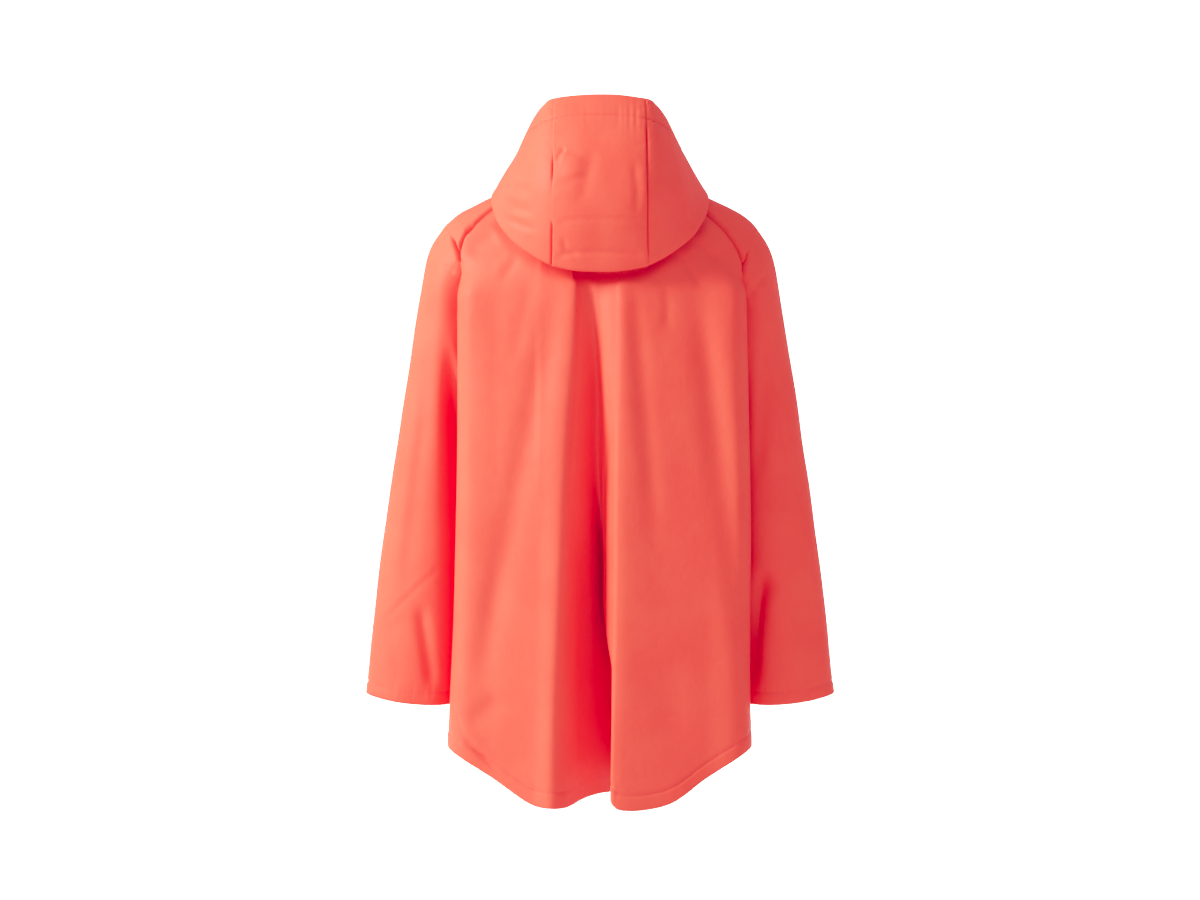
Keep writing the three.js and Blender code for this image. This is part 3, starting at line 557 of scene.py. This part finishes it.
def shell(name, points, outward, tube=False, inside=0.0):
    """A thin closed shell of cloth round a grid of points. inside is how much thicker it is inwards."""
    way = normals(points, tube) * outward
    outer = points + way * THICK / 2
    inner = points - way * (THICK / 2 + np.broadcast_to(inside, points.shape[:2]))[..., None]
    rows, columns = points.shape[:2]
    count = rows * columns
    vertices = np.concatenate([outer.reshape(-1, 3), inner.reshape(-1, 3)])
    face = quads(rows, columns, tube)
    back = face[:, ::-1] + count
    rims = []

    def rim(line):
        a, b = line[:-1], line[1:]
        rims.append(np.stack([a, b, b + count, a + count], -1))

    first = np.arange(columns)
    if tube:
        first = np.append(first, 0)
    rim(first[::-1])
    rim(first + (rows - 1) * columns)
    if not tube:
        down = np.arange(rows) * columns
        rim(down)
        rim((down + columns - 1)[::-1])
    faces = np.concatenate([face, back, *rims])
    if outward < 0:
        faces = faces[:, ::-1]
    return placed(name, mesh_from(name, vertices, faces)), outer


def resampled(line, pitch):
    """Points along a line at an even pitch."""
    lengths = np.concatenate([[0], np.cumsum(np.linalg.norm(np.diff(line, axis=0), axis=1))])
    places = np.arange(pitch / 2, lengths[-1], pitch)
    return np.stack([np.interp(places, lengths, line[:, k]) for k in range(line.shape[1])], -1)


# A stitch: its outline across, and the place, girth and rise of each ring of it along the thread
STITCH_OUTLINE = ((-1, 0), (-0.6, 0.8), (0.6, 0.8), (1, 0))
STITCH_RINGS = ((-0.5, 0.55, -0.7), (-0.3, 1, 0), (0.3, 1, 0), (0.5, 0.55, -0.7))
STITCH_SUNK = 0.05


def stitches(name, rows, pitch=3.1, length=2.3, width=0.42, height=0.3):
    """Little lengths of thread lying on the cloth. Each row is (points, the way the cloth faces there)."""
    vertices = []
    faces = []
    count = len(STITCH_OUTLINE)
    for points, facing in rows:
        both = resampled(np.concatenate([points, facing], 1), pitch)
        centre, out = both[:, :3], both[:, 3:]
        ahead = np.gradient(centre, axis=0)
        ahead /= np.linalg.norm(ahead, axis=1, keepdims=True)
        out /= np.linalg.norm(out, axis=1, keepdims=True)
        beside = np.cross(out, ahead)
        for c, o, f, s in zip(centre, out, ahead, beside):
            start = len(vertices)
            for place, girth, rise in STITCH_RINGS:
                for across, up in STITCH_OUTLINE:
                    lift = height * (up * girth + rise) - STITCH_SUNK
                    vertices.append(c + f * length * place + s * width * across * girth / 2 + o * lift)
            for k in range(len(STITCH_RINGS) - 1):
                for j in range(count - 1):
                    a = start + k * count + j
                    faces.append((a, a + 1, a + count + 1, a + count))
    return placed(name, mesh_from(name, np.array(vertices), np.array(faces)))


def row_at(points, facing, distance, from_last=False, tube=False):
    """The line on the cloth this far from its first row, or from its last one."""
    lengths = run(points, 0)
    wanted = lengths[-1] - distance if from_last else np.full(points.shape[1], float(distance))
    line, ways = [], []
    for c in range(points.shape[1]):
        line.append([np.interp(wanted[c], lengths[:, c], points[:, c, k]) for k in range(3)])
        ways.append([np.interp(wanted[c], lengths[:, c], facing[:, c, k]) for k in range(3)])
    if tube:
        line.append(line[0])
        ways.append(ways[0])
    return np.array(line), np.array(ways)


def eased(start, end, count, near_start=1.0, near_end=1.0):
    """Places from start to end, closer together at an end where its number is under 1."""
    close = 0.06
    t = np.linspace(0, 1, count)
    pace = np.ones(count) - (1 - near_start) * bell(t, close) - (1 - near_end) * bell(1 - t, close)
    gone = np.concatenate([[0], np.cumsum((pace[1:] + pace[:-1]) / 2)])
    return start + (end - start) * gone / gone[-1]


# Materials
def node(tree, kind, **values):
    """A new node. A value goes to the node's own setting of that name, or else to its socket."""
    made = tree.nodes.new(kind)
    for name, value in values.items():
        if hasattr(made, name):
            setattr(made, name, value)
        else:
            made.inputs[name.replace("_", " ")].default_value = value
    return made


def link(source, output, target, socket):
    source.id_data.links.new(source.outputs[output], target.inputs[socket])


def new_material(name):
    """A material, and its tree, its shader and the node that gives the place on the object."""
    material = bpy.data.materials.new(name)
    material.use_nodes = True
    tree = material.node_tree
    return material, tree, tree.nodes["Principled BSDF"], node(tree, "ShaderNodeTexCoord")


def noise(tree, place, **values):
    """A noise texture that is fixed to the object."""
    texture = node(tree, "ShaderNodeTexNoise", **values)
    link(place, "Object", texture, "Vector")
    return texture


def coloured(tree, shader, texture, dark, light, places=(0.0, 1.0)):
    """Two close colours, mixed by the texture between the places."""
    tone = node(tree, "ShaderNodeValToRGB")
    for element, colour, at in zip(tone.color_ramp.elements, (dark, light), places):
        element.position = at
        element.color = (*colour, 1)
    link(texture, "Fac", tone, "Fac")
    link(tone, "Color", shader, "Base Color")


def rubbed(tree, shader, texture, least, most):
    """A roughness between two values, as the texture has it."""
    spread = node(tree, "ShaderNodeMapRange", To_Min=least, To_Max=most)
    link(texture, "Fac", spread, "Value")
    link(spread, "Result", shader, "Roughness")


def cloth_material():
    material, tree, shader, place = new_material("coated_cloth_coral")
    shader.inputs["Specular IOR Level"].default_value = 0.14
    patches = noise(tree, place, Scale=22.0, Detail=3.0, Roughness=0.55)
    coloured(tree, shader, patches, (0.965, 0.11, 0.056), (0.98, 0.122, 0.063), (0.35, 0.68))
    rubbed(tree, shader, patches, 0.5, 0.64)
    grain = noise(tree, place, Scale=1300.0, Detail=2.0)
    crumple = noise(tree, place, Scale=75.0, Detail=3.0, Roughness=0.5, Distortion=0.4)
    fine = node(tree, "ShaderNodeBump", Strength=0.22, Distance=0.0002)
    coarse = node(tree, "ShaderNodeBump", Strength=0.32, Distance=0.0014)
    link(crumple, "Fac", coarse, "Height")
    link(grain, "Fac", fine, "Height")
    link(coarse, "Normal", fine, "Normal")
    link(fine, "Normal", shader, "Normal")
    return material


def thread_material():
    material, tree, shader, place = new_material("sewing_thread_coral")
    shader.inputs["Roughness"].default_value = 0.7
    twist = noise(tree, place, Scale=900.0, Detail=1.0)
    coloured(tree, shader, twist, (0.70, 0.06, 0.05), (0.92, 0.11, 0.08))
    return material


def stud_material():
    material, tree, shader, place = new_material("press_stud_coral")
    shader.inputs["Specular IOR Level"].default_value = 0.5
    specks = noise(tree, place, Scale=160.0, Detail=3.0)
    coloured(tree, shader, specks, (0.72, 0.085, 0.06), (0.82, 0.105, 0.075))
    rubbed(tree, shader, specks, 0.25, 0.4)
    return material


CLOTH_LOOK = cloth_material()
THREAD_LOOK = thread_material()
STUD_LOOK = stud_material()


def finish_cloth(obj, node_name, sewn=None):
    """The look and body of a piece of cloth, and of the thread sewn into it."""
    obj.data.materials.append(CLOTH_LOOK)
    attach(obj, "root")
    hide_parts(node_name)
    if sewn:
        sewn.data.materials.append(THREAD_LOOK)
        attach(sewn, "root")


# How deep the cloth turns in at a seam of the body, and where the raglan seams gape: x and z of both
# ends, and how much deeper it turns in there
SEAM_TURN = 0.4
GAPING = [(102, -30, 119, -45, 7.0), (124, -51, 129, -68, 8.0), (-97, -31, -130, -80, 10.0)]


def seam_depth(seam):
    """How deep both pieces turn in along a seam of the body."""
    x, y, z = seam[..., 0], seam[..., 1], seam[..., 2]
    depth = np.full(x.shape, SEAM_TURN)
    for start_x, start_z, end_x, end_z, deep in GAPING:
        way = np.array([end_x - start_x, end_z - start_z], float)
        length = np.linalg.norm(way)
        way /= length
        gone = np.clip((x - start_x) * way[0] + (z - start_z) * way[1], 0, length)
        off = np.hypot(x - start_x - gone * way[0], z - start_z - gone * way[1])
        depth += deep * (1 - smooth(6, 11, off)) * (y > 10)
    return depth


def inwards(points):
    """The way from the cloth of the body to the hollow inside, the same for all that meet at a seam."""
    x, y, z = points[..., 0], points[..., 1], points[..., 2]
    way = stack(-0.4 * x, -y, -50 * smooth(-110, -45, z))
    return way / np.linalg.norm(way, axis=-1, keepdims=True)


def turned_in(points, seam, distance):
    """How far points move where their piece turns in to a seam that is this far away."""
    deep = seam_depth(seam)
    gone = deep * np.exp(-((distance / (0.9 + 0.07 * deep)) ** 1.5))
    return inwards(seam) * gone[..., None] * np.ones(points.shape)


def puckers(distance, along, pitch, height, reach, seed):
    """Little gathers square to a seam, which die out away from it."""
    return height * ripples(along, pitch, seed) * np.exp(-distance / reach) * smooth(0, 4, distance)


def folded(distance, depth, thickness):
    """How much thicker the cloth is where a hem of this depth is folded inside it."""
    return thickness * (1 - smooth(depth - 0.6, depth + 0.2, distance))


def facing_back(way):
    """1 where the cloth faces the back, and 0 where it faces sideways or forwards."""
    return smooth(0.05, 0.45, way[..., 1])


def hem_relief(distance, depth, along, seed, gathered=1.0):
    """The stitched groove of a hem, and its gathers."""
    groove = -0.8 * bell(distance - depth, 0.9)
    swell = 0.22 * smooth(0, 3, distance) * (1 - smooth(depth - 2, depth, distance))
    gathers = 0.22 * gathered * ripples(along, 9, seed) * bell(distance - depth, depth * 0.6)
    return groove + swell + gathers


# The back
# Each crease is a path of (x, z) downwards, its width and depth, and how far one side of it is raised
BACK_CREASES = [
    ([(91, -52), (106, -62), (121, -72)], 8, 1.8, 0.5),
    ([(73, -74), (81, -85), (89, -96)], 4.5, 1.2, 0.4),
    ([(-84, -57), (-95, -68), (-107, -81)], 4.5, 1.8, 0.5),
    ([(-70, -70), (-81, -88), (-93, -106)], 4, 1.5, 0),
    ([(-59, -96), (-60, -120), (-60, -145)], 4, 0.9, 0.3),
    ([(60, -88), (66, -120), (78, -175)], 7, 0.9, 0),
    ([(112, -130), (116, -200), (110, -290)], 9, 0.8, 0),
    ([(88, -466), (102, -482), (119, -498)], 9, 1.6, 0.6),
    ([(133, -472), (124, -502), (109, -518), (87, -537)], 2.2, 2.2, 0.4),
    ([(-70, -420), (-64, -470), (-66, -520)], 12, 0.8, 0),
]

# The lower edge of the hood over the back, and how deep the back lies there at its middle and sides
HOOD_EDGE = table("x z", (0, -90), (24, -89), (43, -84), (52, -78), (70, -67), (87, -52), (97, -36))
UNDER_HOOD = (8, 2.5)
# The bottom of the pleat low down and higher up: how far it is tucked aside, and at which depths in the
# pleat that starts and is whole. Then the ledge over it, the share of its depth that is filled higher
# up, how far its hem rises, and how much its bends are rounded.
TUCKED, TUCK_STARTS, TUCK_WHOLE = (14, 3), (28, 8), (70, 40)
LEDGE_ASIDE, LEDGE_SUNK = 5, 7
PLEAT_FILLED = 0.32
PLEAT_HEM_RISE = 10
ROUNDING, ROUNDING_TIMES = 0.5, 16


def under_hood(points):
    """How deep the back lies below and behind the lower edge of the hood."""
    out = np.minimum(np.abs(points[..., 0]), HOOD_EDGE["x"][-1])
    deepest = lerp(*UNDER_HOOD, smooth(30, 72, out))
    return deepest * smooth(-13, 2, points[..., 2] - sample(HOOD_EDGE, "x", "z", out))


def pleat_moved(points):
    """The pleat with its bottom tucked to the right, under a ledge that catches some light, and how
    deep each point lay in it before."""
    x, y, z = points[..., 0], points[..., 1], points[..., 2]
    sunk = np.where(np.abs(x - 10) < 45, sample(BODY, "z", "backY", z) - y, 0)
    bottom = np.argmax(sunk, axis=1)[:, None]
    beyond = np.arange(points.shape[1]) > bottom
    middle = smooth(-455, -410, z) * (1 - smooth(-300, -230, z))
    ledge = smooth(4, 16, sunk) * (1 - smooth(34, 52, sunk)) * beyond * middle
    high = smooth(-430, -240, z)
    in_tuck = smooth(lerp(*TUCK_STARTS, high), lerp(*TUCK_WHOLE, high), sunk)
    aside = LEDGE_ASIDE * ledge - lerp(*TUCKED, high) * in_tuck
    filled = PLEAT_FILLED * sunk * smooth(2, 12, sunk) * smooth(-360, -240, z)
    lifted = PLEAT_HEM_RISE * smooth(8, 60, sunk) * (1 - smooth(0, 70, run(points, 0)))
    points = points + stack(aside, filled - LEDGE_SUNK * ledge, lifted)
    rounded = ROUNDING * (smooth(6, 16, sunk) * smooth(-340, -260, z))[:, 1:-1, None]
    for _ in range(ROUNDING_TIMES):
        beside = (points[:, :-2] + points[:, 2:]) / 2
        points[:, 1:-1] = lerp(points[:, 1:-1], beside, rounded)
    return points, sunk


def make_back():
    rows, columns = BACK_GRID
    heights = eased(HEM_Z, -NECK_BACK_DROP, rows, 0.5, 0.6)
    across = eased(0, 1, columns, 0.25, 0.25)
    points, sunk = pleat_moved(back_points(heights, across))
    way = normals(points)
    from_hem, from_left = run(points, 0), run(points, 1)
    to_right = from_left[:, -1:] - from_left
    facing = facing_back(way)
    relief = hem_relief(from_hem, BODY_HEM, from_left, 3)
    relief += puckers(from_left, from_hem, 12, 0.2, 9, 11) + puckers(to_right, from_hem, 12, 0.2, 9, 12)
    relief += 0.45 * unevenness(points * [1, 1, 0.35], 46, 21) * facing
    relief *= 1 - smooth(6, 20, sunk)
    relief -= under_hood(points)
    for path, width, depth, lip in BACK_CREASES:
        relief += crease(points, facing, path, width, depth, lip)
    relief *= smooth(0, SEAM_FADE, from_left) * smooth(0, SEAM_FADE, to_right)
    moved = turned_in(points, points[:, :1], from_left) + turned_in(points, points[:, -1:], to_right)
    points = points + way * relief[..., None] + moved
    obj, outer = shell("cloth_back", points, 1, inside=folded(from_hem, BODY_HEM, 0.7))
    sewn = stitches("stitches_back", [row_at(outer, way, BODY_HEM)])
    finish_cloth(obj, "back", sewn)


def make_front(side):
    label = LABELS[side]
    rows, columns = FRONT_GRID
    heights = eased(HEM_Z, -NECK_BACK_DROP, rows, 0.5, 0.7)
    across = eased(0, 1, columns, 0.35, 0.8)
    points = front_points(side, heights, across)
    outward = -side
    way = normals(points) * outward
    from_hem, from_seam = run(points, 0), run(points, 1)
    to_edge = from_seam[:, -1:] - from_seam
    relief = hem_relief(from_hem, BODY_HEM, from_seam, 5 + side)
    relief += puckers(from_seam, from_hem, 12, 0.2, 9, 15 + side)
    relief += 0.5 * unevenness(points * [1, 1, 0.35], 48, 23 + side) * smooth(40, 70, to_edge)
    relief *= smooth(0, SEAM_FADE, from_seam)
    points = points + way * relief[..., None] + turned_in(points, points[:, :1], from_seam)
    doubled = folded(from_hem, BODY_HEM, 0.6)
    obj, outer = shell("cloth_front_" + label, points, outward, inside=doubled)
    lines = [row_at(outer, way, BODY_HEM)]
    if side > 0:
        turned = np.swapaxes(outer, 0, 1)
        lines.append(row_at(turned, np.swapaxes(way, 0, 1), LAP_STITCH, from_last=True))
    sewn = stitches("stitches_front_" + label, lines)
    finish_cloth(obj, "front_" + label, sewn)


SLEEVE_CREASES = {
    1: [
        ([(145, -80), (137, -85), (130, -89)], 3, 1.2, 0),
        ([(143, -353), (166, -373), (203, -410)], 2.4, 0.6, 0.3),
        ([(164, -385), (158, -425), (151, -474)], 6, 3.0, 0.4),
        ([(196, -398), (186, -432), (180, -470)], 8, 1.0, 0),
        ([(150, -96), (158, -150), (165, -230)], 10, 0.9, 0),
    ],
    -1: [
        ([(-152, -88), (-143, -99), (-133, -112)], 3.5, 1.8, 0.4),
        ([(-152, -126), (-151, -190), (-146, -240), (-140, -288)], 8, 3.0, 0),
        ([(-152, -352), (-143, -386), (-137, -426), (-134, -476)], 9, 10.0, 0.5),
        ([(-176, -300), (-182, -380), (-184, -460)], 12, 1.0, 0),
    ],
}


def make_sleeve(side):
    label = LABELS[side]
    rows, columns = SLEEVE_GRID
    points = sleeve_points(side, eased(0, 1, rows, 0.25, 0.5), np.arange(columns) / columns)
    outward = -side
    way = normals(points, tube=True) * outward
    from_head = run(points, 0)
    to_cuff = from_head[-1:] - from_head
    ring = run(np.concatenate([points, points[:, :1]], 1), 1)[:, :-1]
    relief = hem_relief(to_cuff, CUFF_HEM, ring, 31 + side)
    relief += puckers(from_head, ring, 12, 0.25, 10, 41 + side)
    relief += 0.5 * unevenness(points * [1, 1, 0.5], 40, 51 + side) * smooth(5, 40, from_head)
    facing = facing_back(way)
    for path, width, depth, lip in SLEEVE_CREASES[side]:
        relief += crease(points, facing, path, width, depth, lip)
    relief *= smooth(0, SEAM_FADE, from_head)
    points = points + way * relief[..., None] + turned_in(points, points[:1], from_head)
    doubled = folded(to_cuff, CUFF_HEM, 0.6)
    obj, outer = shell("cloth_sleeve_" + label, points, outward, tube=True, inside=doubled)
    line = row_at(outer, way, CUFF_HEM, from_last=True, tube=True)
    sewn = stitches("stitches_sleeve_" + label, [line])
    finish_cloth(obj, "sleeve_" + label, sewn)


def make_shoulder(side):
    label = LABELS[side]
    rows, columns = SHOULDER_GRID
    points = shoulder_points(side, eased(0, 1, rows, 0.25, 0.25), eased(0, 1, columns, 0.25, 0.25))
    way = normals(points) * side
    out, across = run(points, 0), run(points, 1)
    # Each seam, how far away it is, how far along it is each point, and a seed
    borders = (
        (points[:, :1], across, out, 1),
        (points[:, -1:], across[:, -1:] - across, out, 2),
        (points[-1:], out[-1:] - out, across, 3),
    )
    relief = 0.4 * unevenness(points, 30, 64 + side)
    moved = np.zeros(points.shape)
    for seam, distance, along, seed in borders:
        relief += puckers(distance, along, 10, 0.2, 7, 60 + seed + side)
        moved += turned_in(points, seam, distance)
    for _, distance, _, _ in borders:
        relief *= smooth(0, SEAM_FADE, distance)
    points = points + way * relief[..., None] + moved
    obj, _ = shell("cloth_shoulder_" + label, points, side)
    finish_cloth(obj, "shoulder_" + label)


# The hood
HOOD_CREASES = [
    ([(31, 20), (35, 14), (39, 8)], 2.4, 1.4, -0.5),
    ([(22, 14), (25, 4), (22, -10)], 10, -2.0, 0),
    ([(6, 22), (9, 2), (14, -22), (24, -34)], 6, 0.8, 0.3),
    ([(-30, 10), (-33, -20), (-31, -44)], 4, 0.8, -0.4),
    ([(34, -60), (30, -70), (18, -76)], 3, 0.8, 0.3),
    ([(89, -6), (78, -12), (60, -20)], 4, 1.2, 0.4),
    ([(90, -22), (76, -31), (58, -38)], 4, 1.4, 0.4),
    ([(84, -40), (70, -47), (54, -54)], 3.5, 1.0, 0.3),
    ([(74, 30), (66, 8), (62, -10)], 8, 0.9, 0),
    ([(-66, 36), (-74, 10), (-80, -14)], 9, 0.9, 0),
    ([(-60, -20), (-70, -40), (-74, -56)], 7, 0.8, 0),
]


def across_crease(points, facing, height, reach, width, depth):
    """A level crease over the middle of the hood."""
    sag = 0.002 * points[..., 0] ** 2
    fade = 1 - smooth(reach - 8, reach, np.abs(points[..., 0]))
    return -depth * bell(points[..., 2] - height + sag, width) * fade * facing


def make_hood():
    """The hood as one grid, cut into its two sides and the strip between them."""
    half = eased(HOOD_STRIP, HOOD_END, HOOD_SIDE_COLUMNS, 0.2)
    strip = eased(-HOOD_STRIP, HOOD_STRIP, HOOD_STRIP_COLUMNS, 0.25, 0.25)
    angles = np.concatenate([-half[::-1], strip[1:-1], half])
    right, left = len(half) - 1, len(half) + len(strip) - 2
    points = hood_points(angles, eased(0, 1, HOOD_ROWS, near_end=0.5))
    way = -normals(points)
    from_neck, round_hood = run(points, 0), run(points, 1)
    to_brim = from_neck[-1:] - from_neck
    facing = facing_back(way)
    x, z = points[..., 0], points[..., 2]
    gathered = 0.25 + 1.3 * smooth(14, 22, -x) * (1 - smooth(38, 44, -x))
    along_brim = round_hood[-1:] * np.ones(x.shape)
    relief = 1.5 * hem_relief(to_brim, BRIM_HEM, along_brim, 71, gathered)
    relief += 0.45 * unevenness(points, 38, 74)
    for path, width, depth, lip in HOOD_CREASES:
        relief += crease(points, facing, path, width, depth, lip)
    relief += across_crease(points, facing, -44, 40, 2.2, 0.7)
    relief += across_crease(points, facing, -73, 40, 3, 0.9)
    # How deep each of the two seams between the pieces gapes
    gaping = {
        left: facing * (2.6 * bell(z - 1, 11) + 3.4 * (1 - smooth(-52, -44, z))),
        right: facing * (1.2 + 2.4 * smooth(-78, -68, z) * (1 - smooth(36, 46, z))),
    }
    for column, depth in gaping.items():
        beside = round_hood - round_hood[:, column:column + 1]
        distance = np.abs(beside)
        relief *= smooth(-4, 3, distance)
        relief += puckers(distance, from_neck, 13, 0.25, 8, 72 + column)
        on_strip = smooth(-0.8, 0.8, beside if column == right else -beside)
        relief += 0.5 * on_strip * np.exp(-distance / 9) * smooth(3, 12, to_brim)
        relief -= depth * np.exp(-((distance / 0.75) ** 1.5)) * smooth(0, 5, to_brim)
    relief *= smooth(0, 14, from_neck)
    points = points + way * relief[..., None]
    doubled = folded(to_brim, BRIM_HEM, 0.6)
    # Name, columns, and the size and area of the flat piece
    pieces = (
        ("hood_right", slice(0, right + 1), (0.25, 0.20), 0.025),
        ("hood_strip", slice(right, left + 1), (0.088, 0.27), 0.022),
        ("hood_left", slice(left, None), (0.25, 0.20), 0.025),
    )
    for name, cut, flat, area in pieces:
        obj, outer = shell("cloth_" + name, points[:, cut], -1, inside=doubled[:, cut])
        line = row_at(outer, way[:, cut], BRIM_HEM, from_last=True)
        sewn = stitches("stitches_" + name, [line])
        finish_cloth(obj, name, sewn)


# Radius and height of the rings of a stud's cap and back, from the middle of its top outwards
STUD_CAP = (
    (0, 2.2), (2.2, 2.1), (4.0, 1.75), (5.0, 1.5), (5.4, 1.35),
    (5.7, 1.5), (6.1, 1.5), (6.45, 1.1), (6.5, 0.4), (6.4, 0.0), (0, 0),
)
STUD_BACK = (
    (0, 0.6), (1.4, 0.7), (1.7, 1.9), (2.6, 2.2), (3.4, 2.0),
    (3.6, 1.0), (4.6, 1.1), (5.3, 0.8), (5.5, 0.3), (5.4, 0.0), (0, 0),
)
STUD_COUNT, STUD_TOP_Z, STUD_LOW_Z = 6, -78, -440
STUD_SIDES = 40
STUD_STAND = 0.95  # of its foot over the middle of the cloth
STUD_TIP = 0.05  # radius in place of none


def lap_middle(side, z):
    """The point of a front at the middle line, and the way that its outside faces there."""
    line = front_rows(side, np.array([z - 3.0, z, z + 3.0]))[:, -2]
    line[:, 1] -= side * LAP_LIFT
    up = (line[2] - line[0]) / np.linalg.norm(line[2] - line[0])
    out = np.cross(up, [1, 0, 0])
    return line[1], out * (-1 if out[1] > 0 else 1)


def make_studs():
    """Domed press studs down the lap, each cap outside and its back inside."""
    first = np.array([1.0, 0, 0])
    angles = np.arange(STUD_SIDES) / STUD_SIDES * 2 * math.pi
    for i, z in enumerate(np.linspace(STUD_TOP_Z, STUD_LOW_Z, STUD_COUNT)):
        for side, part, profile in ((1, "stud_cap", STUD_CAP), (-1, "stud_back", STUD_BACK)):
            point, out = lap_middle(side, z)
            out = out * side
            round_it = np.outer(np.cos(angles), first) + np.outer(np.sin(angles), np.cross(out, first))
            base = point + out * STUD_STAND
            rings = [base + out * height + max(reach, STUD_TIP) * round_it for reach, height in profile]
            faces = quads(len(rings), STUD_SIDES, True)[:, ::-1]
            name = f"{part}_{i + 1}"
            mesh = mesh_from("dome_" + name, np.concatenate(rings), faces)
            obj = placed("dome_" + name, mesh)
            obj.data.materials.append(STUD_LOOK)
            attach(obj, "root")
            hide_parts(name)


make_back()
for side in (1, -1):
    make_front(side)
    make_sleeve(side)
    make_shoulder(side)
make_hood()
make_studs()


# Floor, light and camera
def make_floor():
    bpy.ops.mesh.primitive_plane_add(size=20, location=(0, -4, -1.15))
    floor = bpy.context.active_object
    floor.name = "floor"
    material = bpy.data.materials.new("pale_floor")
    material.use_nodes = True
    shader = material.node_tree.nodes["Principled BSDF"]
    shader.inputs["Base Color"].default_value = (0.9, 0.9, 0.9, 1)
    shader.inputs["Roughness"].default_value = 0.9
    floor.data.materials.append(material)


def make_lights():
    """Even light all round, a key light from the jacket's left, and a light for the backdrop."""
    world = bpy.data.worlds.new("soft_studio")
    bpy.context.scene.world = world
    world.use_nodes = True
    tree = world.node_tree
    light = tree.nodes["Background"]
    seen = node(tree, "ShaderNodeBackground")
    for background, strength in ((light, 0.68), (seen, 3.0)):
        background.inputs["Color"].default_value = (1, 1, 1, 1)
        background.inputs["Strength"].default_value = strength
    path = node(tree, "ShaderNodeLightPath")
    mix = node(tree, "ShaderNodeMixShader")
    link(path, "Is Camera Ray", mix, 0)
    link(light, "Background", mix, 1)
    link(seen, "Background", mix, 2)
    link(mix, "Shader", tree.nodes["World Output"], "Surface")

    data = bpy.data.lights.new("key_light", "AREA")
    data.shape = "DISK"
    data.size = 1.0
    data.energy = 144
    lamp = placed("key_light", data)
    lamp.location = (2.25, 0.95, 1.15)
    way = np.array(lamp.location) - [0, 0, -0.28]
    tilt = math.atan2(math.hypot(way[0], way[1]), way[2])
    lamp.rotation_euler = (tilt, 0, math.atan2(way[1], way[0]) + math.pi / 2)

    data = bpy.data.lights.new("backdrop_light", "AREA")
    data.shape = "RECTANGLE"
    data.size, data.size_y = 16, 12
    data.spread = math.radians(90)
    data.energy = 2600
    placed("backdrop_light", data).location = (0, -10, 3.2)


def make_camera():
    data = bpy.data.cameras.new("camera")
    data.lens = 85
    data.sensor_width = 36
    camera = placed("camera", data)
    camera.location = (0, 2.607, -0.2484)
    camera.rotation_euler = (math.pi / 2, 0, math.pi)
    bpy.context.scene.camera = camera


def make_tone():
    """The photograph's own tone: deep reds in the shade keep no green."""
    settings = bpy.context.scene.view_settings
    settings.view_transform = "Standard"
    settings.use_curve_mapping = True
    curves = settings.curve_mapping
    curves.black_level = (0.0, 0.028, -0.014)
    curves.clip_max_x, curves.clip_max_y = 4, 4
    brightest = (2.6, 1.06)
    for colour in list(curves.curves)[:3]:
        colour.points[1].location = brightest
        for bright, shown in ((0.4, 0.4), (0.66, 0.66), (1.32, 0.91)):
            colour.points.new(bright, shown)
    curves.update()


make_floor()
make_lights()
make_camera()
make_tone()
